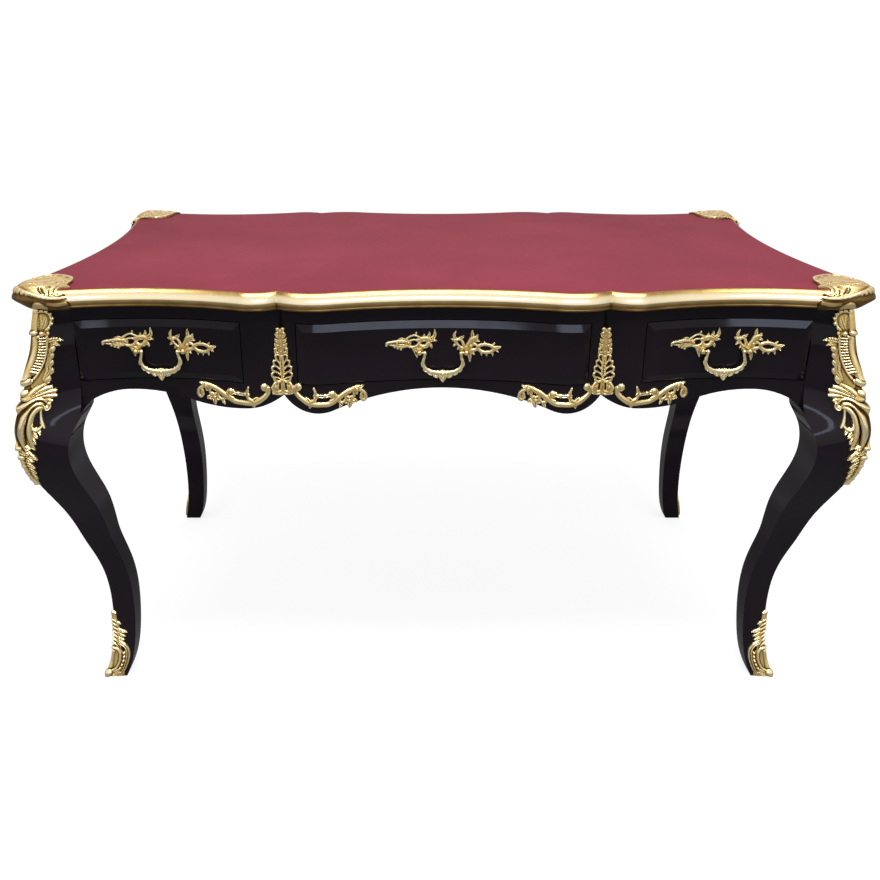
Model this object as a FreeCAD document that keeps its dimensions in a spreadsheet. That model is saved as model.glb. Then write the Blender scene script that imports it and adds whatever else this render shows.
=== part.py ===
import FreeCAD, Part
import math
import os
import re

import Sketcher

# A Louis XV style writing desk: shaped leather top with a gilt edge moulding,
# three drawers in a serpentine frieze, four cabriole legs with gilt mounts.
# Millimetres. X runs to the sitter's right, the drawers face -Y, Z is up,
# and the origin is on the floor under the middle of the top.

doc = FreeCAD.newDocument("writing_desk")

SIZES = {
    # Overall
    "height": 785, "half_width": 708, "half_depth": 428,
    # Outline of the top: places along the front edge and how far each falls back
    "lobe_place": 185, "cusp_place": 273, "wing_place": 332, "end_in": 108,
    "end_place": "=half_width - end_in", "hollow_shift": 5,
    "hollow_place": "=(wing_place + end_place) / 2 + hollow_shift",
    "centre_hollow": 26, "cusp_notch": 14, "wing_drop": 3.5,
    "hollow_drop": 34, "end_drop": 24, "corner_drop": 20,
    "corner_round": 34, "corner_turn": 40, "side_end_in": 148,
    "side_end": "=half_depth - side_end_in",
    "side_end_drop": 8, "side_hollow": 33,
    # Top board, leather and edge moulding
    "top_thick": 30, "leather_thick": 1.5, "moulding_wide": 24,
    "moulding_lip": 3, "moulding_belly_drop": 17, "moulding_undercut": 4,
    "moulding_joint_in": 53, "moulding_joint": "=half_width - moulding_joint_in",
    # Gilt corner mounts of the top
    "corner_mount_long": 81, "corner_mount_inner": "=half_width - corner_mount_long",
    "corner_mount_deep": 149, "corner_mount_back": "=half_depth - corner_mount_deep",
    "corner_mount_proud": 5,
    "corner_mount_rise": 5, "corner_mount_slope": 16, "corner_mount_cut": 44,
    # Frieze: rails, dividers and panels
    "overhang": 37, "stile_inset": 84, "stile_inset_deep": 98, "rail_tall": 28,
    "opening_tall": 108, "centre_opening_half": 247.5, "side_opening_start": 339.5,
    # Lower edge of the front apron, below the drawer openings
    "crown_drop": 14, "crown_place": 130, "crown_end_drop": 29,
    "lobe_low_place": 185, "lobe_low_drop": 46, "apron_cusp_drop": 23,
    "outer_lobe_place": 330, "outer_lobe_drop": 44,
    "arch_in": 79, "arch_place": "=half_width - stile_inset - arch_in", "arch_drop": 19,
    "arch_end_in": 24, "arch_end_place": "=half_width - stile_inset - arch_end_in",
    "arch_end_drop": 31, "apron_joint_drop": 53, "outer_rise_shift": 2.5,
    "outer_rise_place": "=(outer_lobe_place + arch_place) / 2 + outer_rise_shift",
    "outer_rise_drop": 36,
    # Lower edge of the side aprons
    "side_arch_drop": 15, "side_arch_in": 140, "side_arch_end_drop": 27,
    "side_arch_half": "=half_depth - stile_inset_deep - side_arch_in",
    # Cabriole legs: heights, reach of the outer arris past the top, thickness
    "leg_back": 14, "leg_tenon": 6, "leg_flush": 1.5,
    "post_reach": -32, "frieze_fall": 65, "frieze_level": "=height - top_thick - frieze_fall",
    "frieze_reach": -20, "shoulder_rise": 1, "shoulder_reach": -5,
    "shoulder_level": "=height - top_thick - rail_tall - opening_tall + shoulder_rise",
    "bracket_fall": 45, "bracket_level": "=shoulder_level - bracket_fall",
    "bracket_reach": 4, "bracket_swell": 14,
    "knee_fall": 55, "knee_level": "=bracket_level - knee_fall",
    "knee_reach": 11, "knee_thick": 80,
    "low_knee_fall": 60, "low_knee_level": "=knee_level - low_knee_fall",
    "low_knee_reach": 3, "low_knee_thick": 74,
    "ankle_level": 145, "ankle_reach": -75, "ankle_thick": 42,
    "instep_level": 55, "instep_reach": -69, "instep_thick": 40,
    # Stations of the leg's lower curve, each a share of the way from ankle to low knee
    "calf_share": 0.81, "calf_reach": -20, "calf_thick": 67,
    "calf_level": "=ankle_level + (low_knee_level - ankle_level) * calf_share",
    "shin_share": 0.61, "shin_reach": -42, "shin_thick": 55,
    "shin_level": "=ankle_level + (low_knee_level - ankle_level) * shin_share",
    "low_shin_share": 0.343, "low_shin_reach": -65, "low_shin_thick": 45,
    "low_shin_level": "=ankle_level + (low_knee_level - ankle_level) * low_shin_share",
    "toe_reach": -56, "toe_thick": 36,
    # Gilt mounts on the legs
    "leg_mount_thick": 7, "knee_mount_fall": 8, "knee_mount_tail": 20,
    "knee_mount_top": "=height - top_thick - knee_mount_fall",
    "knee_mount_low": "=low_knee_level - knee_mount_tail",
    "knee_mount_top_wide": 37, "knee_mount_frieze_wide": 42,
    "knee_mount_shoulder_wide": 58, "knee_mount_bracket_wide": 66,
    "knee_mount_knee_wide": 56, "knee_mount_low_wide": 24, "knee_mount_tip_wide": 9,
    "shin_wide": 8, "foot_mount_fall": 5, "foot_mount_top": "=ankle_level - foot_mount_fall",
    "ankle_wide": 10, "instep_wide": 26,
    "toe_wide": 30,
    # Drawers
    "drawer_gap": 1.5, "drawer_proud": 6, "drawer_bevel": 12,
    "drawer_long": 430, "drawer_board": 12, "drawer_side_gap": 6, "drawer_side_tall": 94,
    "drawer_lift": 4, "drawer_bottom_thick": 6, "drawer_bottom_lift": 5, "groove_deep": 5,
    "running_gap": 0.3,
    # Inside the carcase
    "partition_thick": 18, "partition_low": 16, "runner_wide": 22, "guide_tall": 14,
    "block_wide": 38, "block_tall": 20,
    # Bail handles: two pierced plates, two posts with nuts, one swinging bail
    "handle_place": "=(side_opening_start + half_width - stile_inset) / 2", "handle_drop": 54,
    "plate_thick": 4, "plate_gap": 0.2, "plate_in": 17,
    "plate_out": 92, "plate_tall_up": 18, "plate_tall_down": 13,
    "post_half_spacing": 40, "post_radius": 3, "post_head_radius": 5,
    "post_hole_gap": 0.1, "pivot_out": 11, "pin_radius": 1.8, "pin_gap": 0.05,
    "pin_long": 14, "bail_half": 30, "bail_radius": 3, "bail_eye_radius": 3.9, "bail_drop": 43,
    "bail_belly": 37, "bail_belly_drop": 20, "bail_shoulder": 24,
    "bail_shoulder_drop": 37, "bail_knop_radius": 5, "bail_point": 11,
    "nut_radius": 7, "nut_thick": 4,
    # Gilt mounts on the frieze
    "trim_thick": 5, "pilaster_top_drop": 9, "pilaster_top_half": 9,
    "pilaster_waist_drop": 62, "pilaster_waist_half": 14, "pilaster_base_drop": 92,
    "pilaster_base_half": 21, "pilaster_low_half": 8, "pilaster_low_rise": 3,
    "scroll_in": 138, "scroll_in_rise": 5, "scroll_middle": 205, "scroll_high_drop": 9,
    "scroll_low_drop": 45, "scroll_near": 256, "scroll_near_drop": 16,
    "scroll_out_in": 12, "scroll_out": "=outer_rise_place - scroll_out_in",
    "scroll_out_drop": 28, "scroll_out_near": 290, "scroll_out_shift": 3,
    "scroll_out_middle": "=(scroll_out_near + scroll_out) / 2 + scroll_out_shift",
    "scroll_out_low_drop": 41,
}

sheet = doc.addObject("Spreadsheet::Sheet", "Sizes")
for row, (name, value) in enumerate(SIZES.items(), start=1):
    sheet.set(f"A{row}", name)
    sheet.set(f"B{row}", str(value))
    sheet.setAlias(f"B{row}", name)
doc.recompute()

# Heights and planes worked out from the sizes
UNDER_TOP = "(height - top_thick)"
RAIL_LOW = "(height - top_thick - rail_tall)"
APRON_TOP = "(height - top_thick - rail_tall - opening_tall)"
STILE_X = "(half_width - stile_inset)"
STILE_Y = "(half_depth - stile_inset_deep)"
FRIEZE_LOW = f"({APRON_TOP} - apron_joint_drop - drawer_bevel)"
PIVOT_Z = f"({RAIL_LOW} - handle_drop)"
FAR = "(half_depth * 2)"


def bound(text):
    """The same formula with every size name pointing at its cell."""
    def cell(match):
        word = match.group(0)
        return "Sizes." + word if word in SIZES else word
    return re.sub(r"[a-z][a-z_]*", cell, str(text))


def size(text):
    """The present value of a formula over the sheet."""
    return float(sheet.evalExpression(bound(text)))


def minus(text):
    return f"-({text})"


def bind(thing, **formulas):
    """Bind properties of an object to formulas; two underscores stand for a dot."""
    for prop, text in formulas.items():
        thing.setExpression(prop.replace("__", "."), bound(text))
    return thing


def box(name, x, y, z):
    """A board between two formulas along each axis."""
    board = doc.addObject("Part::Box", name)
    for prop, axis, (low, high) in zip(("Length", "Width", "Height"), "xyz", (x, y, z)):
        board.setExpression(prop, bound(f"({high}) - ({low})"))
        board.setExpression(f"Placement.Base.{axis}", bound(low))
    return board


def boolean(kind, name, base, tool):
    """Part::Cut or Part::Common of two objects."""
    result = doc.addObject(kind, name)
    result.Base = base
    result.Tool = tool
    return result


def cut(name, base, tool):
    return boolean("Part::Cut", name, base, tool)


def common(name, base, tool):
    return boolean("Part::Common", name, base, tool)


def fuse(name, *pieces):
    result = doc.addObject("Part::MultiFuse", name)
    result.Shapes = list(pieces)
    return result


def group(name, *pieces):
    """Separate solids kept together in one node."""
    result = doc.addObject("Part::Compound", name)
    result.Links = list(pieces)
    return result


def mirror(name, source, normal):
    """A mirror image through the origin."""
    result = doc.addObject("Part::Mirroring", name)
    result.Source = source
    result.Normal = FreeCAD.Vector(*normal)
    return result


def rod(name, radius, length, place, along):
    """A round bar that starts at a place and runs along an axis."""
    bar = doc.addObject("Part::Cylinder", name)
    turns = {"x": (FreeCAD.Vector(0, 1, 0), 90), "y": (FreeCAD.Vector(1, 0, 0), -90)}
    if along in turns:
        bar.Placement.Rotation = FreeCAD.Rotation(*turns[along])
    bind(bar, Radius=radius, Height=length)
    for axis, text in zip("xyz", place):
        bar.setExpression(f"Placement.Base.{axis}", bound(text))
    return bar


def arc_from(start, end, heading):
    """Middle point and closing direction of the arc that leaves start along heading."""
    chord = end - start
    swing = math.atan2(heading.x * chord.y - heading.y * chord.x, heading.dot(chord))
    left = FreeCAD.Vector(-chord.y, chord.x, 0)
    middle = (start + end) * 0.5 - left * (math.tan(swing / 2) / 2)
    turned = FreeCAD.Rotation(FreeCAD.Vector(0, 0, 1), math.degrees(2 * swing))
    return middle, turned.multVec(heading)


def through(start, middle, end):
    """Directions at both ends of the arc through three points."""
    curve = Part.Arc(start, middle, end).toShape()
    first = curve.tangentAt(curve.FirstParameter)
    last = curve.tangentAt(curve.LastParameter)
    if first.dot(middle - start) < 0:
        first, last = last * -1, first * -1
    return first, last


def arc_middles(corners, spans):
    """The corner points of an outline and the middle point of each arc between them.

    spans[i] joins corner i to the next one: "line", ("through", point), "follow" for an
    arc tangent to the span before it, "lead" for one tangent to the span after it, or
    ("level", end) for an arc that is level at its "start" or "end".
    """
    count = len(corners)
    points = [FreeCAD.Vector(size(x), size(y), 0) for x, y in corners]
    middles = [None] * count
    heads = [None] * count
    tails = [None] * count
    waiting = []
    for i, span in enumerate(spans):
        start, end = points[i], points[(i + 1) % count]
        if span == "line":
            continue
        if span[0] == "through":
            middles[i] = FreeCAD.Vector(size(span[1][0]), size(span[1][1]), 0)
            heads[i], tails[i] = through(start, middles[i], end)
        elif span[0] == "level":
            way = FreeCAD.Vector(math.copysign(1, end.x - start.x), 0, 0)
            if span[1] == "start":
                heads[i] = way
                middles[i], tails[i] = arc_from(start, end, way)
            else:
                tails[i] = way
                middles[i], back = arc_from(end, start, way * -1)
                heads[i] = back * -1
        else:
            waiting.append(i)
    while waiting:
        for i in list(waiting):
            start, end = points[i], points[(i + 1) % count]
            before, after = (i - 1) % count, (i + 1) % count
            if spans[i] == "follow" and tails[before]:
                heads[i] = tails[before]
                middles[i], tails[i] = arc_from(start, end, heads[i])
                waiting.remove(i)
            elif spans[i] == "lead" and heads[after]:
                tails[i] = heads[after]
                middles[i], back = arc_from(end, start, tails[i] * -1)
                heads[i] = back * -1
                waiting.remove(i)
    return points, middles


def outline(sketch, corners, spans):
    """Draw a closed outline of lines and arcs in a sketch, its corners bound to the sheet."""
    count = len(corners)
    points, middles = arc_middles(corners, spans)
    ends = []
    for i in range(count):
        start, end = points[i], points[(i + 1) % count]
        if middles[i] is None:
            edge = sketch.addGeometry(Part.LineSegment(start, end))
        else:
            edge = sketch.addGeometry(Part.Arc(start, middles[i], end))
        first, last = sketch.getPoint(edge, 1), sketch.getPoint(edge, 2)
        near = 1 if (first - start).Length < (last - start).Length else 2
        ends.append((edge, near, 3 - near))
    rules = []
    formulas = []

    def rule(text, *terms):
        rules.append(Sketcher.Constraint(*terms))
        formulas.append(text)

    for i in range(count):
        edge, near, far = ends[i]
        following, follow_near, _ = ends[(i + 1) % count]
        smooth = spans[i] == "lead" or spans[(i + 1) % count] == "follow"
        rule(None, "Tangent" if smooth else "Coincident", edge, far, following, follow_near)
        rule(corners[i][0], "DistanceX", edge, near, points[i].x)
        rule(corners[i][1], "DistanceY", edge, near, points[i].y)
        if spans[i][0] == "through":
            mark = sketch.addGeometry(Part.Point(middles[i]), True)
            rule(None, "PointOnObject", mark, 1, edge)
            rule(spans[i][1][0], "DistanceX", mark, 1, middles[i].x)
            rule(spans[i][1][1], "DistanceY", mark, 1, middles[i].y)
        if spans[i][0] == "level":
            level = i if spans[i][1] == "start" else (i + 1) % count
            rule(corners[level][0], "DistanceX", edge, 3, points[level].x)
    sketch.addConstraint(rules)
    for place, text in enumerate(formulas):
        if text is not None:
            sketch.setExpression(f"Constraints[{place}]", bound(text))
    return sketch


def plan_sketch(name, corners, spans, level):
    """An outline drawn flat at a height."""
    sketch = doc.addObject("Sketcher::SketchObject", name)
    outline(sketch, corners, spans)
    return bind(sketch, Placement__Base__z=level)


def front_sketch(name, corners, spans):
    """An outline drawn in the front elevation, with X across and Z up."""
    sketch = doc.addObject("Sketcher::SketchObject", name)
    sketch.Placement.Rotation = FreeCAD.Rotation(FreeCAD.Vector(1, 0, 0), 90)
    return outline(sketch, corners, spans)


def side_sketch(name, corners, spans):
    """An outline drawn in the side elevation, with Y across and Z up."""
    sketch = doc.addObject("Sketcher::SketchObject", name)
    sketch.Placement.Rotation = FreeCAD.Rotation(0.5, 0.5, 0.5, 0.5)
    return outline(sketch, corners, spans)


def raised(name, flat, way, length):
    """A solid drawn out of a flat outline."""
    solid = doc.addObject("Part::Extrusion", name)
    solid.Base = flat
    solid.Dir = FreeCAD.Vector(*way)
    solid.DirMode = "Custom"
    solid.Solid = True
    return bind(solid, LengthFwd=length)


def top_plan(inset):
    """Corners and spans of the top's outline moved in by a distance, from the front lobe."""
    front = [
        ("lobe_place", f"half_depth - ({inset})"),
        ("cusp_place", f"half_depth - cusp_notch - ({inset})"),
        ("wing_place", f"half_depth - wing_drop - ({inset})"),
        ("end_place", f"half_depth - end_drop - ({inset})"),
        (f"half_width - corner_round - ({inset})", f"half_depth - corner_drop - ({inset})"),
        (f"half_width - ({inset})", f"half_depth - corner_drop - corner_turn - ({inset})"),
        (f"half_width - side_end_drop - ({inset})", "side_end"),
    ]
    hollow = ("hollow_place", f"half_depth - hollow_drop - ({inset})")
    quarter = ["follow", "lead", "through", "follow", "follow", "lead"]
    swap = {"follow": "lead", "lead": "follow"}
    corners = []
    spans = []
    for sign_x, sign_y in (("", "-"), ("", ""), ("-", ""), ("-", "-")):
        turned = (sign_x == "-") != (sign_y == "")
        corners += [(f"{sign_x}({x})", f"{sign_y}({y})") for x, y in (front[::-1] if turned else front)]
        for step in quarter[::-1] if turned else quarter:
            if step == "through":
                spans.append(("through", (f"{sign_x}({hollow[0]})", f"{sign_y}({hollow[1]})")))
            else:
                spans.append(swap[step] if turned else step)
        if turned:
            middle = ("0", f"{sign_y}(half_depth - centre_hollow - ({inset}))")
        else:
            middle = (f"{sign_x}(half_width - side_hollow - ({inset}))", "0")
        spans.append(("through", middle))
    return corners, spans


def top_edge(name, inset, level):
    """The outline of the top moved in by a distance, as a closed wire at a height."""
    points, middles = arc_middles(*top_plan(inset))
    arcs = [Part.Arc(start, middle, end).toShape()
            for start, middle, end in zip(points, middles, points[1:] + points[:1])]
    edge = doc.addObject("Part::Feature", name)
    edge.Shape = Part.Wire(arcs)
    edge.Placement.Base.z = size(level)
    return edge


def stack(name, steps):
    """A solid through copies of the top's outline, each moved in and set at a height."""
    solid = doc.addObject("Part::Loft", name)
    solid.Sections = [top_edge(f"{name}_{i}", inset, level) for i, (inset, level) in enumerate(steps)]
    solid.Solid = True
    solid.Ruled = True
    return solid


def frieze_block(name, inset):
    """Everything inside the outline moved in by a distance, over the height of the frieze."""
    return raised(name, top_edge(name + "_edge", inset, FRIEZE_LOW), (0, 0, 1),
                  f"{UNDER_TOP} - {FRIEZE_LOW}")


# Top board, leather and the moulding round its edge
top_outline = plan_sketch("top_outline", *top_plan("moulding_wide"), UNDER_TOP)
top_panel = raised("top_panel", top_outline, (0, 0, 1), "top_thick - leather_thick")
board_core = raised("board_core", top_outline, (0, 0, 1), "top_thick")
leather_edge = top_edge("leather_edge", "moulding_wide", "height - leather_thick")
leather_inlay = raised("leather_inlay", leather_edge, (0, 0, 1), "leather_thick")

moulding_body = stack("moulding_body", [
    ("moulding_undercut", UNDER_TOP),
    ("moulding_undercut * 0.25", "height - top_thick * 0.8"),
    ("0", "height - moulding_belly_drop"),
    ("moulding_wide * 0.2", "height - moulding_belly_drop * 0.55"),
    ("moulding_wide * 0.53", "height - moulding_belly_drop * 0.17"),
    ("moulding_wide - moulding_lip", "height"),
])
moulding_ring = cut("moulding_ring", moulding_body, board_core)
front_stretch = box("front_stretch", ("-moulding_joint", "moulding_joint"),
                    (minus(FAR), "-side_end"), (UNDER_TOP, "height"))
edge_moulding_front = common("edge_moulding_front", moulding_ring, front_stretch)
edge_moulding_back = mirror("edge_moulding_back", edge_moulding_front, (0, 1, 0))
right_ring = common("right_ring", moulding_ring,
                    box("right_half", ("0", "half_width * 2"), (minus(FAR), FAR), (UNDER_TOP, "height")))
right_open = cut("right_open", right_ring, front_stretch)
edge_moulding_right = cut("edge_moulding_right", right_open, mirror("back_stretch", front_stretch, (0, 1, 0)))
edge_moulding_left = mirror("edge_moulding_left", edge_moulding_right, (1, 0, 0))

# Gilt corner mounts that cap the moulding at the four corners
cap_body = stack("cap_body", [
    ("-corner_mount_proud * 0.5", UNDER_TOP),
    ("-corner_mount_proud", "height - moulding_belly_drop"),
    ("corner_mount_slope", "height + corner_mount_rise"),
])
cap_region = plan_sketch("cap_region", [
    ("corner_mount_inner", minus(FAR)),
    ("half_width * 2", minus(FAR)),
    ("half_width * 2", "-corner_mount_back"),
    ("corner_mount_inner + corner_mount_cut", "-corner_mount_back"),
    ("corner_mount_inner", "-corner_mount_back - corner_mount_cut * 2"),
], ["line", "line", "line", ("through", ("corner_mount_inner + corner_mount_cut * 0.35",
                                         "-corner_mount_back - corner_mount_cut * 0.7")), "line"],
    UNDER_TOP)
cap_zone = raised("cap_zone", cap_region, (0, 0, 1), "top_thick + corner_mount_rise")
cap_whole = common("cap_whole", cap_body, cap_zone)
cap_clear = cut("cap_clear", cap_whole, moulding_body)
corner_mount_front_right = cut("corner_mount_front_right", cap_clear, board_core)
corner_mount_front_left = mirror("corner_mount_front_left", corner_mount_front_right, (1, 0, 0))
corner_mount_back_right = mirror("corner_mount_back_right", corner_mount_front_right, (0, 1, 0))
corner_mount_back_left = mirror("corner_mount_back_left", corner_mount_back_right, (1, 0, 0))

# Frieze: the serpentine front and back, the hollow sides
frieze_face = frieze_block("frieze_face", "overhang")
drawer_face = frieze_block("drawer_face", "overhang - drawer_proud")
plate_face = frieze_block("plate_face", "overhang - drawer_proud - plate_thick")
plate_seat = frieze_block("plate_seat", "overhang - drawer_proud - plate_gap")
trim_face = frieze_block("trim_face", "overhang - trim_thick")

front_top_rail = common("front_top_rail", frieze_face,
                        box("rail_zone", (minus(STILE_X), STILE_X), (minus(FAR), minus(STILE_Y)),
                            (RAIL_LOW, UNDER_TOP)))

apron_half = [
    ("crown_place", f"{APRON_TOP} - crown_end_drop"),
    ("lobe_low_place", f"{APRON_TOP} - lobe_low_drop"),
    ("cusp_place", f"{APRON_TOP} - apron_cusp_drop"),
    ("outer_lobe_place", f"{APRON_TOP} - outer_lobe_drop"),
    ("outer_rise_place", f"{APRON_TOP} - outer_rise_drop"),
    ("arch_place", f"{APRON_TOP} - arch_drop"),
    ("arch_end_place", f"{APRON_TOP} - arch_end_drop"),
    (STILE_X, f"{APRON_TOP} - apron_joint_drop"),
]
apron_spans = ["follow", "follow", "lead", "lead", ("level", "end"), ("level", "start"), "follow"]


def apron_outline(top):
    """The shaped lower edge of the front or back, closed along a straight top."""
    left = [(minus(x), z) for x, z in apron_half[::-1]]
    swap = {"follow": "lead", "lead": "follow"}
    mirrored = []
    for span in apron_spans[::-1]:
        if span[0] == "level":
            mirrored.append(("level", "end" if span[1] == "start" else "start"))
        else:
            mirrored.append(swap[span])
    corners = apron_half + [(STILE_X, top), (minus(STILE_X), top)] + left
    spans = apron_spans + ["line", "line", "line"] + mirrored
    spans.append(("through", ("0", f"{APRON_TOP} - crown_drop")))
    return corners, spans


apron_zone = raised("apron_zone", front_sketch("apron_sketch", *apron_outline(UNDER_TOP)),
                    (0, -1, 0), FAR)
apron_slab = common("apron_slab", frieze_face,
                    box("apron_block", (minus(STILE_X), STILE_X), (minus(FAR), minus(STILE_Y)),
                        (FRIEZE_LOW, APRON_TOP)))
front_apron = common("front_apron", apron_slab, apron_zone)

divider_zone = box("divider_zone", ("centre_opening_half", "side_opening_start"),
                   (minus(FAR), minus(STILE_Y)), (APRON_TOP, RAIL_LOW))
drawer_divider_right = common("drawer_divider_right", frieze_face, divider_zone)
drawer_divider_left = mirror("drawer_divider_left", drawer_divider_right, (1, 0, 0))

# The back is one panel with three raised fields where the front has drawers
back_zone = mirror("back_zone", apron_zone, (0, 1, 0))
back_slab = common("back_slab", frieze_face,
                   box("back_block", (minus(STILE_X), STILE_X), (STILE_Y, FAR), (FRIEZE_LOW, UNDER_TOP)))
back_board = common("back_board", back_slab, back_zone)

# Side panels between the legs
side_zone = raised("side_zone", side_sketch("side_sketch", [
    ("-side_arch_half", f"{APRON_TOP} - side_arch_end_drop"),
    ("side_arch_half", f"{APRON_TOP} - side_arch_end_drop"),
    (STILE_Y, f"{APRON_TOP} - apron_joint_drop"),
    (STILE_Y, UNDER_TOP),
    (minus(STILE_Y), UNDER_TOP),
    (minus(STILE_Y), f"{APRON_TOP} - apron_joint_drop"),
], [("through", ("0", f"{APRON_TOP} - side_arch_drop")), "follow", "line", "line", "line", "lead"]),
    (1, 0, 0), "half_width * 2")
side_slab = common("side_slab", frieze_face,
                   box("side_block", (STILE_X, "half_width * 2"), (minus(FAR), FAR),
                       (FRIEZE_LOW, UNDER_TOP)))
side_panel_right = common("side_panel_right", side_slab, side_zone)
side_panel_left = mirror("side_panel_left", side_panel_right, (1, 0, 0))

# Cabriole legs: one square section carried up through named stations
leg_stations = [("0", "toe"), ("instep_level", "instep"), ("ankle_level", "ankle"),
                ("low_shin_level", "low_shin"), ("shin_level", "shin"), ("calf_level", "calf"),
                ("low_knee_level", "low_knee"), ("knee_level", "knee")]
post_stations = [("bracket_level", "bracket_reach", "bracket_swell"),
                 ("shoulder_level", "shoulder_reach", "0"),
                 ("frieze_level", "frieze_reach", "0"), (UNDER_TOP, "post_reach", "0")]
mount_wide = ["toe_wide", "instep_wide", "ankle_wide", "shin_wide", "shin_wide", "knee_mount_tip_wide",
              "knee_mount_low_wide", "knee_mount_knee_wide", "knee_mount_bracket_wide",
              "knee_mount_shoulder_wide", "knee_mount_frieze_wide", "knee_mount_top_wide"]


def leg_sections():
    """For each station: height, outer arris, front inner arris, inner arris, side inner arris."""
    sections = []
    for level, station in leg_stations:
        reach, thick = size(f"{station}_reach"), size(f"{station}_thick")
        x = size("half_width") + reach
        y = size("half_depth - leg_back") + reach
        sections.append((size(level), (x, y), (x - thick, y), (x - thick, y - thick), (x, y - thick)))
    inner_x = size(f"{STILE_X} - leg_tenon")
    inner_y = size(f"{STILE_Y} - leg_tenon")
    for level, reach, swell in post_stations:
        x = size(f"half_width + {reach}")
        y = size(f"half_depth - leg_back + {reach}")
        front = size(f"half_depth - end_drop - overhang + leg_flush + {swell}")
        side = size(f"half_width - overhang - leg_flush + {swell} * 0.5")
        sections.append((size(level), (x, y), (inner_x, front), (inner_x, inner_y), (side, inner_y)))
    return sections


def section_loft(rings):
    """A smooth solid through closed four-sided rings, front right."""
    wires = []
    for level, corners in rings:
        points = [FreeCAD.Vector(x, -y, level) for x, y in corners]
        wires.append(Part.makePolygon(points + points[:1]))
    return Part.makeLoft(wires, True, False)


def skin_ring(section, wide):
    """The corner of a leg section grown by the mount's thickness and limited to its width."""
    level, arris, front, inner, side = section
    arris, front, side = (FreeCAD.Vector(x, y, 0) for x, y in (arris, front, side))
    grow = size("leg_mount_thick")
    to_front = (front - arris).normalize()
    to_side = (side - arris).normalize()
    out_front = FreeCAD.Vector(-to_front.y, to_front.x, 0) * -1
    out_side = FreeCAD.Vector(to_side.y, -to_side.x, 0) * -1
    ring = [arris + out_front * grow + out_side * grow,
            arris + to_front * wide + out_front * grow,
            arris + (to_front + to_side) * wide,
            arris + to_side * wide + out_side * grow]
    return level, [(point.x, point.y) for point in ring]


sections = leg_sections()
leg_whole = doc.addObject("Part::Feature", "leg_whole")
leg_whole.Shape = section_loft([(s[0], s[1:]) for s in sections])
leg_clear_front = cut("leg_clear_front", leg_whole, apron_zone)
leg_front_right = cut("leg_front_right", leg_clear_front, side_zone)
leg_front_left = mirror("leg_front_left", leg_front_right, (1, 0, 0))
leg_back_right = mirror("leg_back_right", leg_front_right, (0, 1, 0))
leg_back_left = mirror("leg_back_left", leg_back_right, (1, 0, 0))

leg_skin = doc.addObject("Part::Feature", "leg_skin")
leg_skin.Shape = section_loft([skin_ring(s, size(w)) for s, w in zip(sections, mount_wide)])
leg_casting = cut("leg_casting", leg_skin, leg_whole)
beyond = ("0", "half_width * 2")
knee_mount_front_right = common("knee_mount_front_right", leg_casting,
                                box("knee_stretch", beyond, (minus(FAR), "0"),
                                    ("knee_mount_low", "knee_mount_top")))
knee_mount_front_left = mirror("knee_mount_front_left", knee_mount_front_right, (1, 0, 0))
knee_mount_back_right = mirror("knee_mount_back_right", knee_mount_front_right, (0, 1, 0))
knee_mount_back_left = mirror("knee_mount_back_left", knee_mount_back_right, (1, 0, 0))
foot_mount_front_right = common("foot_mount_front_right", leg_casting,
                                box("foot_stretch", beyond, (minus(FAR), "0"), ("0", "foot_mount_top")))
foot_mount_front_left = mirror("foot_mount_front_left", foot_mount_front_right, (1, 0, 0))
foot_mount_back_right = mirror("foot_mount_back_right", foot_mount_front_right, (0, 1, 0))
foot_mount_back_left = mirror("foot_mount_back_left", foot_mount_back_right, (1, 0, 0))

# Drawers: bevelled serpentine front, grooved sides, back and bottom
DRAWER_Z = f"({APRON_TOP} + drawer_lift)"
DRAWER_END = f"(-{STILE_Y} + drawer_long)"
BOTTOM_Z = f"({DRAWER_Z} + drawer_bottom_lift)"


def beam(name, corners, y_low, y_high):
    """A body of constant section in X and Z, padded along Y between two planes."""
    body = doc.addObject("PartDesign::Body", name)
    sketch = body.newObject("Sketcher::SketchObject", name + "_section")
    plane = [feature for feature in body.Origin.OriginFeatures if feature.Role == "XZ_Plane"][0]
    sketch.AttachmentSupport = [(plane, "")]
    sketch.MapMode = "FlatFace"
    bind(sketch, AttachmentOffset__Base__z=minus(y_high))
    doc.recompute()
    outline(sketch, corners, ["line"] * len(corners))
    pad = body.newObject("PartDesign::Pad", name + "_pad")
    pad.Profile = sketch
    bind(pad, Length=f"({y_high}) - ({y_low})")
    body.Tip = pad
    return body


def drawer_side(name, outer, inward):
    """A drawer side whose inner face holds the groove for the bottom."""
    face = f"{outer} {inward} drawer_board"
    groove = f"{outer} {inward} (drawer_board - groove_deep)"
    over = f"{BOTTOM_Z} + drawer_bottom_thick"
    top = f"{DRAWER_Z} + drawer_side_tall"
    corners = [(outer, DRAWER_Z), (face, DRAWER_Z), (face, BOTTOM_Z), (groove, BOTTOM_Z),
               (groove, over), (face, over), (face, top), (outer, top)]
    return beam(name, corners, minus(STILE_Y), DRAWER_END)


def bevelled(name, block):
    """The raised front of a drawer, bevelled all round down to the frieze."""
    doc.recompute()
    shape = block.Shape
    front = [face for face in shape.Faces if face.normalAt(*face.Surface.parameter(face.CenterOfMass)).y < -0.5]
    edges = []
    for place, edge in enumerate(shape.Edges, start=1):
        owners = shape.ancestorsOfType(edge, Part.Face)
        facing = [any(owner.isSame(face) for face in front) for owner in owners]
        if facing.count(True) == 1:
            wide, deep = size("drawer_bevel"), size("drawer_proud")
            edges.append((place, wide, deep) if facing[0] else (place, deep, wide))
    bevel = doc.addObject("Part::Chamfer", name)
    bevel.Base = block
    bevel.Edges = edges
    return bevel


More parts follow.
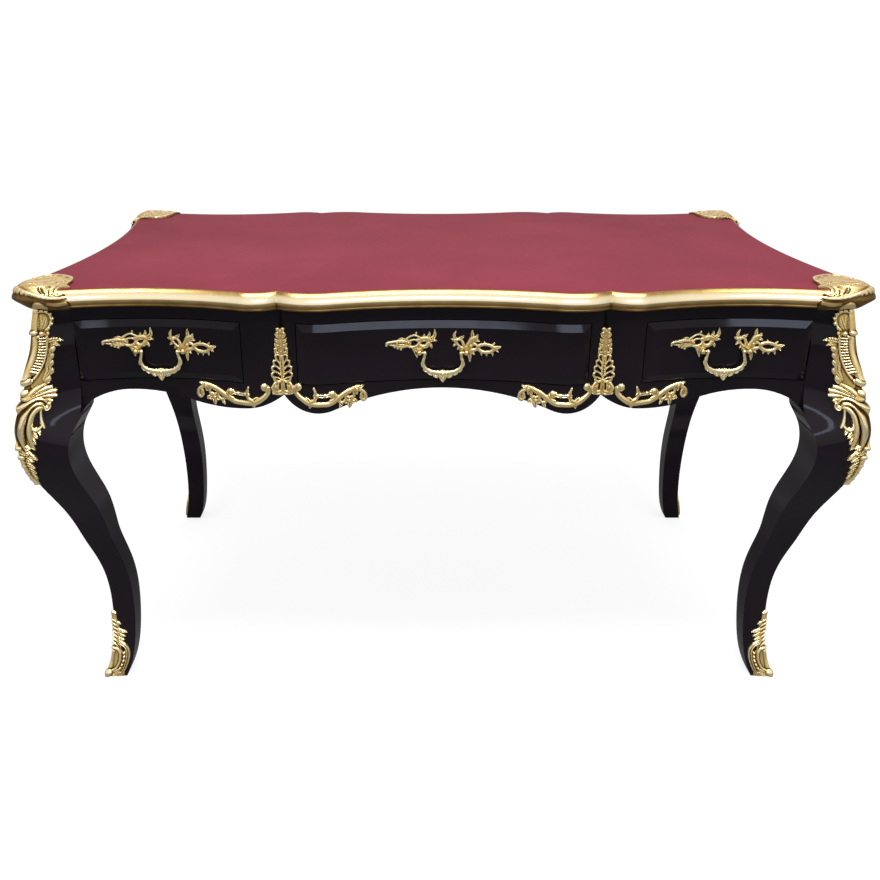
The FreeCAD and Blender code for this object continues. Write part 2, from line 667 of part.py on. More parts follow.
def front_block(name, x_low, x_high):
    """The square-edged front of a drawer inside its opening."""
    zone = box(name + "_zone", (f"{x_low} + drawer_gap", f"{x_high} - drawer_gap"),
               (minus(FAR), minus(STILE_Y)), (f"{APRON_TOP} + drawer_gap", f"{RAIL_LOW} - drawer_gap"))
    return common(name + "_block", drawer_face, zone)


SIDE_BOX_OUT = f"({STILE_X} - leg_tenon - drawer_gap * 2)"
spaces = {
    "centre": (minus("centre_opening_half"), "centre_opening_half",
               "(-centre_opening_half + drawer_side_gap)", "(centre_opening_half - drawer_side_gap)"),
    "right": ("side_opening_start", STILE_X, "(side_opening_start + drawer_side_gap)", SIDE_BOX_OUT),
    "left": (minus(STILE_X), "-side_opening_start", minus(SIDE_BOX_OUT),
             "(-side_opening_start - drawer_side_gap)"),
}
handles = {
    "centre": ("0", "(half_depth - centre_hollow - overhang + drawer_proud)"),
    "right": ("handle_place", "(half_depth - hollow_drop - overhang + drawer_proud)"),
    "left": ("-handle_place", "(half_depth - hollow_drop - overhang + drawer_proud)"),
}
front_shapes = {}
drawer_nodes = []
for where, (opening_low, opening_high, box_low, box_high) in spaces.items():
    front_shapes[where] = bevelled(f"drawer_bevel_{where}",
                                   front_block(f"drawer_{where}", opening_low, opening_high))
    place, face = handles[where]
    bores = [rod(f"post_bore_{where}_{sign}", "post_radius + post_hole_gap", FAR,
                 (f"{place} {sign} post_half_spacing", minus(FAR), PIVOT_Z), "y") for sign in "+-"]
    both_bores = fuse(f"post_bores_{where}", *bores)
    drawer_nodes.append(cut(f"drawer_front_{where}", front_shapes[where], both_bores))
    drawer_nodes.append(group(f"drawer_sides_{where}",
                              drawer_side(f"drawer_side_low_{where}", box_low, "+"),
                              drawer_side(f"drawer_side_high_{where}", box_high, "-")))
    inside = (f"{box_low} + drawer_board", f"{box_high} - drawer_board")
    drawer_nodes.append(box(f"drawer_back_{where}", inside, (f"{DRAWER_END} - drawer_board", DRAWER_END),
                            (f"{BOTTOM_Z} + drawer_bottom_thick", f"{DRAWER_Z} + drawer_side_tall")))
    drawer_nodes.append(box(f"drawer_bottom_{where}",
                            (f"{inside[0]} - groove_deep", f"{inside[1]} + groove_deep"),
                            (minus(STILE_Y), DRAWER_END), (BOTTOM_Z, f"{BOTTOM_Z} + drawer_bottom_thick")))

    # Handle plates lie on the curved front and are pierced by the posts
    plates = []
    for sign in "+-":
        tip = f"{place} {sign} plate_out"
        near = f"{place} {sign} plate_in"
        middle = f"{place} {sign} (plate_in + plate_out) / 2"
        leaf = front_sketch(f"plate_sketch_{where}_{sign}", [(near, PIVOT_Z), (tip, PIVOT_Z)],
                            [("through", (middle, f"{PIVOT_Z} - plate_tall_down")),
                             ("through", (middle, f"{PIVOT_Z} + plate_tall_up"))])
        leaf_zone = raised(f"plate_zone_{where}_{sign}", leaf, (0, -1, 0), FAR)
        leaf_whole = common(f"plate_whole_{where}_{sign}", plate_face, leaf_zone)
        leaf_clear = cut(f"plate_clear_{where}_{sign}", leaf_whole, plate_seat)
        plates.append(cut(f"plate_{where}_{sign}", leaf_clear, both_bores))
    drawer_nodes.append(group(f"handle_plates_{where}", *plates))

    # Posts carry the bail in a cross hole and are held by nuts inside the drawer
    pivot_y = f"-({face} + pivot_out)"
    bolts = []
    for sign in "+-":
        post_x = f"{place} {sign} post_half_spacing"
        shank = rod(f"post_shank_{where}_{sign}", "post_radius",
                    f"-({pivot_y}) - {STILE_Y} + nut_thick * 1.5", (post_x, pivot_y, PIVOT_Z), "y")
        head = doc.addObject("Part::Sphere", f"post_head_{where}_{sign}")
        bind(head, Radius="post_head_radius", Placement__Base__x=post_x, Placement__Base__y=pivot_y,
             Placement__Base__z=PIVOT_Z)
        eye = rod(f"post_eye_{where}_{sign}", "pin_radius + pin_gap", "post_head_radius * 4",
                  (f"{post_x} - post_head_radius * 2", pivot_y, PIVOT_Z), "x")
        bolts.append(cut(f"post_{where}_{sign}", fuse(f"post_solid_{where}_{sign}", shank, head), eye))
        nut = doc.addObject("Part::Prism", f"nut_solid_{where}_{sign}")
        nut.Polygon = 6
        nut.Placement.Rotation = FreeCAD.Rotation(FreeCAD.Vector(1, 0, 0), -90)
        bind(nut, Circumradius="nut_radius", Height="nut_thick", Placement__Base__x=post_x,
             Placement__Base__y=minus(STILE_Y), Placement__Base__z=PIVOT_Z)
        bolts.append(cut(f"nut_{where}_{sign}", nut, shank))
    drawer_nodes.append(group(f"handle_posts_{where}", *bolts))

    # The bail: a round bar bent to a loop, with a knop, a point and two pins
    bend = [("-bail_half", "0"), ("-bail_belly", "-bail_belly_drop"), ("-bail_shoulder", "-bail_shoulder_drop"),
            ("bail_shoulder", "-bail_shoulder_drop"), ("bail_belly", "-bail_belly_drop"), ("bail_half", "0")]
    curves = ["lead", "lead", ("through", ("0", "-bail_drop")), "follow", "follow", "line"]
    points, middles = arc_middles(bend, curves)
    upright = FreeCAD.Placement(FreeCAD.Vector(size(place), size(pivot_y), size(PIVOT_Z)),
                                FreeCAD.Rotation(FreeCAD.Vector(1, 0, 0), 90))
    spine = doc.addObject("Part::Feature", f"bail_spine_{where}")
    spine.Shape = Part.Wire([Part.Arc(a, m, b).toShape() for a, m, b in zip(points, middles, points[1:])])
    spine.Placement = upright
    ring = doc.addObject("Part::Circle", f"bail_ring_{where}")
    bind(ring, Radius="bail_radius", Placement__Base__x=f"{place} - bail_half",
         Placement__Base__y=pivot_y, Placement__Base__z=PIVOT_Z)
    bar = doc.addObject("Part::Sweep", f"bail_bar_{where}")
    bar.Sections = [ring]
    bar.Spine = spine
    bar.Solid = True
    bar.Frenet = True
    knop = doc.addObject("Part::Sphere", f"bail_knop_{where}")
    bind(knop, Radius="bail_knop_radius", Placement__Base__x=place, Placement__Base__y=pivot_y,
         Placement__Base__z=f"{PIVOT_Z} - bail_drop")
    point = doc.addObject("Part::Cone", f"bail_point_{where}")
    bind(point, Radius1="bail_radius * 0.2", Radius2="bail_knop_radius * 0.9", Height="bail_point",
         Placement__Base__x=place, Placement__Base__y=pivot_y,
         Placement__Base__z=f"{PIVOT_Z} - bail_drop - bail_point")
    ends = []
    for sign, start in (("+", f"{place} + bail_half"), ("-", f"{place} - bail_half - pin_long")):
        ends.append(rod(f"bail_pin_{where}_{sign}", "pin_radius", "pin_long", (start, pivot_y, PIVOT_Z), "x"))
        ball = doc.addObject("Part::Sphere", f"bail_end_{where}_{sign}")
        bind(ball, Radius="bail_eye_radius", Placement__Base__x=f"{place} {sign} bail_half",
             Placement__Base__y=pivot_y, Placement__Base__z=PIVOT_Z)
        ends.append(ball)
    drawer_nodes.append(fuse(f"bail_{where}", bar, knop, point, *ends))

back_fields = [mirror(f"back_field_{where}", shape, (0, 1, 0)) for where, shape in front_shapes.items()]
back_panel = fuse("back_panel", back_board, *back_fields)

# Inside the carcase: partitions, runners with guides, glue blocks under the top
PARTITION_MID = "((centre_opening_half + side_opening_start) / 2)"
PARTITION_IN = f"({PARTITION_MID} - partition_thick / 2)"
PARTITION_OUT = f"({PARTITION_MID} + partition_thick / 2)"
TREAD_LOW = f"({APRON_TOP} - partition_low)"
TREAD_TOP = f"({DRAWER_Z} - running_gap)"
partition_right = box("partition_right", (PARTITION_IN, PARTITION_OUT), (minus(STILE_Y), STILE_Y),
                      (TREAD_LOW, UNDER_TOP))
partition_left = mirror("partition_left", partition_right, (1, 0, 0))


def runner(name, wall, drawer_edge, inward, reach):
    """A strip that carries a drawer side, with a guide beside the drawer."""
    tread = f"{drawer_edge} {inward} runner_wide"
    away = "-" if inward == "+" else "+"
    guide = f"{drawer_edge} {away} drawer_gap"
    corners = [(wall, TREAD_LOW), (tread, TREAD_LOW), (tread, TREAD_TOP), (guide, TREAD_TOP),
               (guide, f"{TREAD_TOP} + guide_tall"), (wall, f"{TREAD_TOP} + guide_tall")]
    return beam(name, corners, minus(reach), reach)


runners = [runner("runner_centre", PARTITION_IN, spaces["centre"][3], "-", STILE_Y),
           runner("runner_side_in", PARTITION_OUT, spaces["right"][2], "+", STILE_Y),
           runner("runner_side_out", STILE_X, spaces["right"][3], "-", f"({STILE_Y} - leg_tenon - drawer_gap)")]
drawer_runners = group("drawer_runners", *runners,
                       *[mirror(f"{strip.Name}_left", strip, (1, 0, 0)) for strip in runners])

block_whole = box("block_whole", (f"{STILE_X} - block_wide", STILE_X),
                  (minus(STILE_Y), f"-{STILE_Y} + block_wide"), (f"{UNDER_TOP} - block_tall", UNDER_TOP))
block_fr = cut("block_fr", block_whole, leg_whole)
block_fl = mirror("block_fl", block_fr, (1, 0, 0))
corner_blocks = group("corner_blocks", block_fr, block_fl, mirror("block_br", block_fr, (0, 1, 0)),
                      mirror("block_bl", block_fl, (0, 1, 0)))


# Gilt mounts on the frieze: pilasters over the cusps, scrolls along the apron
def trim(name, corners, spans):
    """A casting cut to an outline in front view and laid on the frieze."""
    zone = raised(name + "_zone", front_sketch(name + "_sketch", corners, spans), (0, -1, 0), FAR)
    return cut(name, common(name + "_whole", trim_face, zone), frieze_face)


pilaster_half = [("pilaster_low_half", f"{APRON_TOP} - apron_cusp_drop + pilaster_low_rise"),
                 ("pilaster_base_half", f"{RAIL_LOW} - pilaster_base_drop"),
                 ("pilaster_waist_half", f"{RAIL_LOW} - pilaster_waist_drop"),
                 ("pilaster_top_half", f"{RAIL_LOW} - pilaster_top_drop")]
pilaster_mount_right = trim("pilaster_mount_right",
                            [(f"cusp_place + {x}", z) for x, z in pilaster_half]
                            + [(f"cusp_place - {x}", z) for x, z in pilaster_half[::-1]], ["line"] * 8)
pilaster_mount_left = mirror("pilaster_mount_left", pilaster_mount_right, (1, 0, 0))
scroll_inner_right = trim("scroll_mount_inner_right", [
    ("scroll_in", f"{APRON_TOP} - crown_end_drop + scroll_in_rise"),
    ("scroll_near", f"{APRON_TOP} - scroll_near_drop"),
], [("through", ("scroll_middle", f"{APRON_TOP} - scroll_low_drop")),
    ("through", ("scroll_middle", f"{APRON_TOP} - scroll_high_drop"))])
scroll_inner_left = mirror("scroll_mount_inner_left", scroll_inner_right, (1, 0, 0))
scroll_outer_right = trim("scroll_mount_outer_right", [
    ("scroll_out_near", f"{APRON_TOP} - scroll_near_drop"),
    ("scroll_out", f"{APRON_TOP} - scroll_out_drop"),
], [("through", ("scroll_out_middle", f"{APRON_TOP} - scroll_out_low_drop")),
    ("through", ("scroll_out_middle", f"{APRON_TOP} - scroll_high_drop"))])
scroll_outer_left = mirror("scroll_mount_outer_left", scroll_outer_right, (1, 0, 0))

doc.recompute()

nodes = [top_panel, leather_inlay, edge_moulding_front, edge_moulding_back, edge_moulding_left,
         edge_moulding_right, corner_mount_front_left, corner_mount_front_right, corner_mount_back_left,
         corner_mount_back_right, leg_front_left, leg_front_right, leg_back_left, leg_back_right,
         knee_mount_front_left, knee_mount_front_right, knee_mount_back_left, knee_mount_back_right,
         foot_mount_front_left, foot_mount_front_right, foot_mount_back_left, foot_mount_back_right,
         front_top_rail, front_apron, drawer_divider_left, drawer_divider_right, back_panel,
         side_panel_left, side_panel_right, partition_left, partition_right, drawer_runners,
         corner_blocks, pilaster_mount_left, pilaster_mount_right, scroll_inner_left,
         scroll_inner_right, scroll_outer_left, scroll_outer_right, *drawer_nodes]

for thing in doc.Objects:
    if "Invalid" in thing.State or "Error" in thing.State:
        raise RuntimeError(f"{thing.Name} could not be worked out")
os.makedirs("parts", exist_ok=True)
for node in nodes:
    if node.Shape.isNull() or not node.Shape.isValid() or not node.Shape.Solids:
        raise RuntimeError(f"{node.Label} is not a sound solid")
    node.Shape.exportStep(f"parts/{node.Label}.step")
    extent = node.Shape.optimalBoundingBox()
    print(node.Label, len(node.Shape.Solids), [round(v, 1) for v in (
        extent.XMin, extent.XMax, extent.YMin, extent.YMax, extent.ZMin, extent.ZMax)])
print(len(nodes), "nodes")
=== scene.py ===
import math

import bpy
import numpy as np
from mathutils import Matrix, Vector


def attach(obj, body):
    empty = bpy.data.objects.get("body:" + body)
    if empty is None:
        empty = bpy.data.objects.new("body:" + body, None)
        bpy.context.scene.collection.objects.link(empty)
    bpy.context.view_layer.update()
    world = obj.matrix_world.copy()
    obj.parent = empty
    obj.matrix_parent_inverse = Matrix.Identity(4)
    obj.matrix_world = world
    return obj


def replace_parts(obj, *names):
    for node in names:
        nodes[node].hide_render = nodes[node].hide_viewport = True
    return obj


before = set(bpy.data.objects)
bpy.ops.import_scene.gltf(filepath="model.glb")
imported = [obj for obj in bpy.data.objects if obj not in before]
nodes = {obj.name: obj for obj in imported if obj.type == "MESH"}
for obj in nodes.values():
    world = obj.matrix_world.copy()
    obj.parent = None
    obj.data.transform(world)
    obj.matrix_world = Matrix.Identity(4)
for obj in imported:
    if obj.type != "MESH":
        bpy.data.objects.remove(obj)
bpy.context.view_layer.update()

# A writing desk in black lacquer with a crimson leather top and gilt bronze mounts.
# Lengths below are millimetres, turned to metres when a mesh is made.
MM = 0.001

# Sizes that the dressed pieces share with the solids
HALF_WIDTH = 708.0
HALF_DEPTH = 428.0
OVERHANG = 37.0
DRAWER_PROUD = 6.0
PIVOT_LEVEL = 673.0
PIVOT_OUT = 11.0
HANDLE_PLACE = 481.75
CUSP_PLACE = 273.0
CUSP_LEVEL = 596.0

# Hands of the sides, and of the four corners
SIDES = (("left", -1), ("right", 1))
CORNERS = [(f"{row}_{side}", hand_x, hand_y) for row, hand_y in (("front", 1), ("back", -1))
           for side, hand_x in SIDES]


# Colours and nodes
def linear(colour):
    """Linear red, green, blue and alpha of an sRGB hex value."""
    shares = [int(colour[i:i + 2], 16) / 255 for i in (1, 3, 5)]
    return [s / 12.92 if s <= 0.04045 else ((s + 0.055) / 1.055) ** 2.4 for s in shares] + [1.0]


def fill(tree, node, inputs):
    """Sets a node's sockets to values, or links them to outputs."""
    for name, value in inputs.items():
        if isinstance(value, bpy.types.NodeSocket):
            tree.links.new(value, node.inputs[name])
        else:
            node.inputs[name].default_value = value


def add(tree, kind, inputs=None, ramp=(), **settings):
    """A new node with its settings, and its sockets set to values or linked to outputs."""
    node = tree.nodes.new(kind)
    for name, value in settings.items():
        setattr(node, name, value)
    if ramp:
        stops = node.color_ramp.elements
        while len(stops) < len(ramp):
            stops.new(0.5)
        for stop, (place, colour) in zip(stops, ramp):
            stop.position = place
            stop.color = linear(colour)
    fill(tree, node, inputs or {})
    return node


def new_material(name):
    """An empty material with its node tree and shader."""
    material = bpy.data.materials.new(name)
    material.use_nodes = True
    return material, material.node_tree, material.node_tree.nodes["Principled BSDF"]


def own_place(tree):
    """A piece's own coordinates, in metres."""
    return add(tree, "ShaderNodeTexCoord").outputs["Object"]


def per_metre(millimetres):
    """Texture scale whose pattern repeats once in that many millimetres."""
    return 1000.0 / millimetres


def noise(tree, place, millimetres, detail, **sockets):
    """Noise whose pattern repeats once in that many millimetres."""
    inputs = {"Vector": place, "Scale": per_metre(millimetres), "Detail": detail, **sockets}
    return add(tree, "ShaderNodeTexNoise", inputs).outputs["Fac"]


def ranged(tree, value, low, high, from_low=0.0, from_high=1.0, **settings):
    """A value carried from one range to another."""
    inputs = {"Value": value, "From Min": from_low, "From Max": from_high, "To Min": low, "To Max": high}
    return add(tree, "ShaderNodeMapRange", inputs, **settings).outputs["Result"]


def tinted(tree, value, ramp):
    """A colour from a ramp of places and sRGB hex values."""
    return add(tree, "ShaderNodeValToRGB", {"Fac": value}, ramp).outputs["Color"]


def bumped(tree, height, strength, depth):
    """A normal tilted by a height, whose full depth is given in metres."""
    inputs = {"Height": height, "Strength": strength, "Distance": depth}
    return add(tree, "ShaderNodeBump", inputs).outputs["Normal"]


def summed(tree, one, other):
    """The sum of two values."""
    return add(tree, "ShaderNodeMath", {0: one, 1: other}, operation="ADD").outputs["Value"]


def black_lacquer():
    """Many rubbed coats of black lacquer on wood: near black, glossy, with a faint wave."""
    material, tree, shader = new_material("rubbed_black_lacquer")
    place = own_place(tree)
    cloud = noise(tree, place, 160, detail=3.0)
    haze = noise(tree, place, 28, detail=4.0)
    wave = noise(tree, place, 45, detail=1.0)
    fill(tree, shader, {
        "Base Color": tinted(tree, cloud, [(0.3, "#151015"), (0.7, "#1B1419")]),
        "Roughness": ranged(tree, haze, low=0.07, high=0.13, from_low=0.3, from_high=0.7),
        "Normal": bumped(tree, wave, strength=0.06, depth=0.002),
        "IOR": 1.45,
        "Specular IOR Level": 0.18,
    })
    return material


def crimson_leather():
    """Dyed smooth hide, stretched and waxed: fine pores, a cloudy dye and a soft sheen."""
    material, tree, shader = new_material("waxed_crimson_hide")
    place = own_place(tree)
    cloud = noise(tree, place, 260, detail=5.0, Roughness=0.6)
    # Pores are about 0.6 mm across, and are drawn at 1.8 mm so that they show
    pores = add(tree, "ShaderNodeTexVoronoi", {"Vector": place, "Scale": per_metre(1.8)}).outputs["Distance"]
    creases = noise(tree, place, 9, detail=6.0)
    fill(tree, shader, {
        "Base Color": tinted(tree, cloud, [(0.28, "#62232D"), (0.5, "#692730"), (0.74, "#702B35")]),
        "Roughness": ranged(tree, creases, low=0.55, high=0.7),
        "Normal": bumped(tree, summed(tree, pores, creases), strength=0.12, depth=0.0006),
        "IOR": 1.45,
        "Specular IOR Level": 0.04,
    })
    return material


def gilt_metal(name, ramp, rough_proud, rough_deep, mark_size, mark_depth, even_wear=None):
    """Gilded metal, rubbed bright where it stands proud and dark where it lies deep, partly by painted
    shade.

    A per-point value of a piece, from 0 to 1, mixes wear with painted light: on castings it follows
    how far each place stands proud, with painted shade in the hollows and under the corner shields'
    overhang, and the bails are lifted by a painted brightening; on the moulding it paints a highlight
    band on the roll and shade over the crest and the lower part. A turned piece has none, and is worn
    evenly.
    """
    material, tree, shader = new_material(name)
    place = own_place(tree)
    wear_and_painted_light = even_wear
    if wear_and_painted_light is None:
        wear_and_painted_light = add(tree, "ShaderNodeAttribute", attribute_name="wear_and_painted_light").outputs["Fac"]
    blotch = noise(tree, place, 24, detail=4.0)
    marks = noise(tree, place, mark_size, detail=3.0)
    shift = ranged(tree, blotch, low=-0.07, high=0.07, from_low=0.25, from_high=0.75)
    shown = summed(tree, shift, wear_and_painted_light)
    fill(tree, shader, {
        "Base Color": tinted(tree, shown, ramp),
        "Roughness": ranged(tree, shown, low=rough_deep, high=rough_proud),
        "Normal": bumped(tree, marks, strength=0.3, depth=mark_depth),
        "Metallic": 1.0,
    })
    return material


def plain_wood(name, tones):
    """Planed boards: straight grain along their length, matt, in three tones from dark to light."""
    material, tree, shader = new_material(name)
    place = own_place(tree)
    stretched = add(tree, "ShaderNodeMapping", {"Vector": place, "Scale": (1.0, 0.06, 1.0)})
    grain = noise(tree, stretched.outputs["Vector"], 7, detail=6.0, Distortion=0.4)
    fill(tree, shader, {
        "Base Color": tinted(tree, grain, list(zip((0.3, 0.5, 0.72), tones))),
        "Normal": bumped(tree, grain, strength=0.15, depth=0.0008),
        "Roughness": 0.6,
        "Specular IOR Level": 0.15,
    })
    return material


lacquer = black_lacquer()
leather = crimson_leather()
wood = plain_wood("planed_waxed_beech", ("#8A623C", "#A87E50", "#BF9666"))
stained_wood = plain_wood("dark_stained_pine", ("#150F0B", "#1D1510", "#271C14"))
cast_gilt = gilt_metal("cast_and_chased_gilt_bronze",
                       [(0.0, "#46310F"), (0.26, "#A37C3C"), (0.52, "#E7C87F"), (0.85, "#FDEDBE")],
                       rough_proud=0.2, rough_deep=0.46, mark_size=1.6, mark_depth=0.0006)
matted_gilt = gilt_metal("cast_and_matted_gilt_bronze",
                         [(0.0, "#463216"), (0.26, "#8C6F40"), (0.52, "#C6A972"), (0.85, "#DAC496")],
                         rough_proud=0.36, rough_deep=0.52, mark_size=3.4, mark_depth=0.0012)
drawn_gilt = gilt_metal("drawn_and_polished_gilt_brass",
                        [(0.0, "#5C4420"), (0.35, "#B8945A"), (0.65, "#EDD196"), (0.95, "#FEEDC6")],
                        rough_proud=0.13, rough_deep=0.3, mark_size=14.0, mark_depth=0.0004)
turned_gilt = gilt_metal("turned_gilt_brass", [(0.3, "#8F6C31"), (0.6, "#DEC286"), (0.9, "#F6E7BA")],
                         rough_proud=0.18, rough_deep=0.4, mark_size=3.0, mark_depth=0.0004, even_wear=0.66)

# Meshes, whose edges are sharp from this angle on
SHARP_FROM = math.radians(48)


def make_piece(name, points, faces, material, body, wear_and_painted_light=None):
    """A mesh object from an array of points in millimetres and arrays of faces, riding on a body.

    The enclosed volume is summed from the faces' first corners, and where it comes out
    negative every face is turned over, so that faces point outwards.
    """
    volume = 0.0
    for block in faces:
        first = points[block[:, 0]]
        for step in range(1, block.shape[1] - 1):
            crossed = np.cross(points[block[:, step]], points[block[:, step + 1]])
            volume += float((first * crossed).sum())
    if volume < 0:
        faces = [block[:, ::-1] for block in faces]
    mesh = bpy.data.meshes.new(name)
    mesh.vertices.add(len(points))
    mesh.vertices.foreach_set("co", (points * MM).astype(np.float32).ravel())
    corners = np.concatenate([block.ravel() for block in faces])
    sides = np.concatenate([np.full(len(block), block.shape[1]) for block in faces])
    starts = np.concatenate([[0], np.cumsum(sides)[:-1]])
    mesh.loops.add(len(corners))
    mesh.loops.foreach_set("vertex_index", corners.astype(np.int32))
    mesh.polygons.add(len(sides))
    mesh.polygons.foreach_set("loop_start", starts.astype(np.int32))
    mesh.polygons.foreach_set("use_smooth", np.ones(len(sides), bool))
    mesh.update(calc_edges=True)
    mesh.validate()
    if wear_and_painted_light is not None:
        layer = mesh.attributes.new("wear_and_painted_light", "FLOAT", "POINT")
        layer.data.foreach_set("value", wear_and_painted_light.astype(np.float32))
    mesh.set_sharp_from_angle(angle=SHARP_FROM)
    mesh.materials.append(material)
    piece = bpy.data.objects.new(name, mesh)
    bpy.context.scene.collection.objects.link(piece)
    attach(piece, body)
    return piece


def lengths_along(points):
    """Length of a broken line from its start to each of its points."""
    return np.concatenate([[0.0], np.cumsum(np.hypot(*np.diff(points, axis=0).T))])


def smooth_curve(rows, count):
    """Rows evenly stepped along a smooth curve through the given rows.

    A cubic runs between each two rows, with slopes taken from their neighbours and lengths
    from the chords between the first two columns.
    """
    rows = np.array(rows, float)
    chord = lengths_along(rows[:, :2])
    return hermite(chord, rows, np.linspace(0.0, chord[-1], count))


def hermite(knots, rows, at):
    """Values at the given places of the cubic curve that passes through rows at the knots."""
    slope = np.gradient(rows, knots, axis=0)
    i = np.clip(np.searchsorted(knots, at, side="right") - 1, 0, len(knots) - 2)
    span = (knots[i + 1] - knots[i])[..., None]
    t = (at - knots[i])[..., None] / span
    return ((2 * t ** 3 - 3 * t ** 2 + 1) * rows[i] + (t ** 3 - 2 * t ** 2 + t) * span * slope[i]
            + (3 * t ** 2 - 2 * t ** 3) * rows[i + 1] + (t ** 3 - t ** 2) * span * slope[i + 1])


def unit(vectors):
    """Vectors of length one."""
    return vectors / np.maximum(np.linalg.norm(vectors, axis=-1, keepdims=True), 1e-9)


# Outline of the top, the same arcs as the solid's
def arc(start, middle, end, steps):
    """Points along the circle through three points, and the directions at both ends.

    The centre is where the chords' perpendicular bisectors meet, and the angle is stepped evenly.
    """
    start, middle, end = (np.array(p, float) for p in (start, middle, end))
    one, two = middle - start, end - start
    doubled = 2 * (one[0] * two[1] - one[1] * two[0])
    centre = start + np.array([two[1] * (one @ one) - one[1] * (two @ two),
                               one[0] * (two @ two) - two[0] * (one @ one)]) / doubled
    way = math.copysign(1.0, doubled)
    spoke, last = start - centre, end - centre
    first_angle = math.atan2(spoke[1], spoke[0])
    swing = way * ((way * (math.atan2(last[1], last[0]) - first_angle)) % (2 * math.pi))
    angle = first_angle + np.linspace(0.0, swing, steps + 1)
    radius = np.hypot(*spoke)
    points = centre + radius * np.stack([np.cos(angle), np.sin(angle)], -1)
    turned = way * np.stack([-np.sin(angle), np.cos(angle)], -1)
    return points, turned[0], turned[-1]


def arc_leaving(start, end, heading, steps):
    """Points along the arc that leaves start along a heading, and its direction at the end.

    The arc's middle stands off the chord by half the chord times the tangent of half the
    angle between heading and chord.
    """
    start, end = np.array(start, float), np.array(end, float)
    chord = end - start
    swing = math.atan2(heading[0] * chord[1] - heading[1] * chord[0], heading @ chord)
    middle = (start + end) / 2 - np.array([-chord[1], chord[0]]) * math.tan(swing / 2) / 2
    run = arc(start, middle, end, steps)
    return run[0], run[2]


# Steps along the runs that make up a quarter of the outline
HALF_CENTRE = 48
TO_CUSP = 24
FROM_CUSP = 16
BELLY = 64
TO_TURN = 20
HALF_TURN = 16
TO_SIDE = 24
HALF_SIDE = 48
TURN_MIDDLE = HALF_CENTRE + TO_CUSP + FROM_CUSP + BELLY + TO_TURN + HALF_TURN
# The points at which the front and the side lengths of moulding end under a corner mount
FRONT_LAST = TURN_MIDDLE - 19
SIDE_FIRST = TURN_MIDDLE + 17


def top_quarter(inset):
    """A quarter of the top's outline moved in by a distance, from the front's middle to the side's.

    The first column runs to the right and the second towards the sitter. Point i of one
    quarter answers to point i of any other.
    """
    front = HALF_DEPTH - inset
    wide = HALF_WIDTH - inset
    lobe, cusp, wing = (185.0, front), (CUSP_PLACE, front - 14.0), (332.0, front - 3.5)
    end, hollow = (600.0, front - 24.0), (471.0, front - 34.0)
    turn_start, turn_end = (wide - 34.0, front - 20.0), (wide, front - 60.0)
    side_end = (wide - 8.0, 280.0)
    centre = arc((-lobe[0], lobe[1]), (0.0, front - 26.0), lobe, 2 * HALF_CENTRE)
    to_cusp = arc_leaving(lobe, cusp, centre[2], TO_CUSP)
    belly = arc(wing, hollow, end, BELLY)
    from_cusp = arc_leaving(wing, cusp, -belly[1], FROM_CUSP)
    to_turn = arc_leaving(end, turn_start, belly[2], TO_TURN)
    turn = arc_leaving(turn_start, turn_end, to_turn[1], 2 * HALF_TURN)
    side = arc(side_end, (wide - 33.0, 0.0), (side_end[0], -side_end[1]), 2 * HALF_SIDE)
    to_side = arc_leaving(side_end, turn_end, -side[1], TO_SIDE)
    runs = [centre[0][HALF_CENTRE:], to_cusp[0][1:], from_cusp[0][-2::-1], belly[0][1:], to_turn[0][1:],
            turn[0][1:], to_side[0][-2::-1], side[0][1:HALF_SIDE + 1]]
    return np.concatenate(runs)


def swept(profile):
    """Points of a section carried round a quarter of the outline, each at its own inset and level."""
    lines = np.stack([top_quarter(inset) for inset in profile[:, 0]], 1)
    level = np.broadcast_to(profile[:, 1], lines.shape[:2])
    return np.stack([lines[..., 0], -lines[..., 1], level], -1)


def front_line(inset):
    """Function giving how far the front's outline, moved in, stands out at each place along X."""
    quarter = top_quarter(inset)[:TURN_MIDDLE]
    return lambda x: np.interp(np.abs(x), quarter[:, 0], quarter[:, 1])


# Edge moulding: a profile of so many points carried along the outline, with this shading value on its cut
# ends
PROFILE_POINTS = 40
END_SHADING = 0.3


def moulding_profile():
    """Inset, level and shading value of the moulding's section, from the leather over the top and round; the
    value is painted light: a highlight band on the roll, shade over the crest and the lower part.
    """
    # The third column is painted light: a painted highlight band on the roll, painted shade over the crest
    # and the lower part
    drawn = [(23.8, 782.6, 0.2), (15.0, 783.4, 0.2), (12.9, 784.6, 0.2), (11.4, 784.5, 0.16),
             (9.2, 783.0, 0.16), (6.4, 780.4, 0.4), (3.8, 776.8, 0.9), (1.6, 772.8, 1.0),
             (0.4, 769.4, 1.0), (0.1, 766.6, 0.6), (0.3, 764.2, 0.25), (1.2, 762.2, 0.2),
             (2.6, 760.6, 0.2), (3.2, 759.6, 0.12), (2.6, 758.6, 0.1), (2.3, 757.2, 0.08),
             (3.2, 755.8, 0.05), (5.5, 755.3, 0.0)]
    over = smooth_curve(drawn, PROFILE_POINTS)
    under = np.array([(14.0, 755.2, 0.1), (23.8, 755.2, 0.1)])
    return np.concatenate([over, under])


def moulding(along_front):
    """Points and painted highlight and shade of the front length of moulding, or of the right one.

    Rows run along the outline and columns round the profile. Half of the length is swept, and
    the other half mirrors it.
    """
    profile = moulding_profile()
    if along_front:
        half = swept(profile)[:FRONT_LAST + 1]
        run = np.concatenate([half[:0:-1] * (-1, 1, 1), half])
    else:
        half = swept(profile)[SIDE_FIRST:]
        run = np.concatenate([half, half[-2::-1] * (1, -1, 1)])
    return run, np.broadcast_to(profile[:, 2], run.shape[:2])


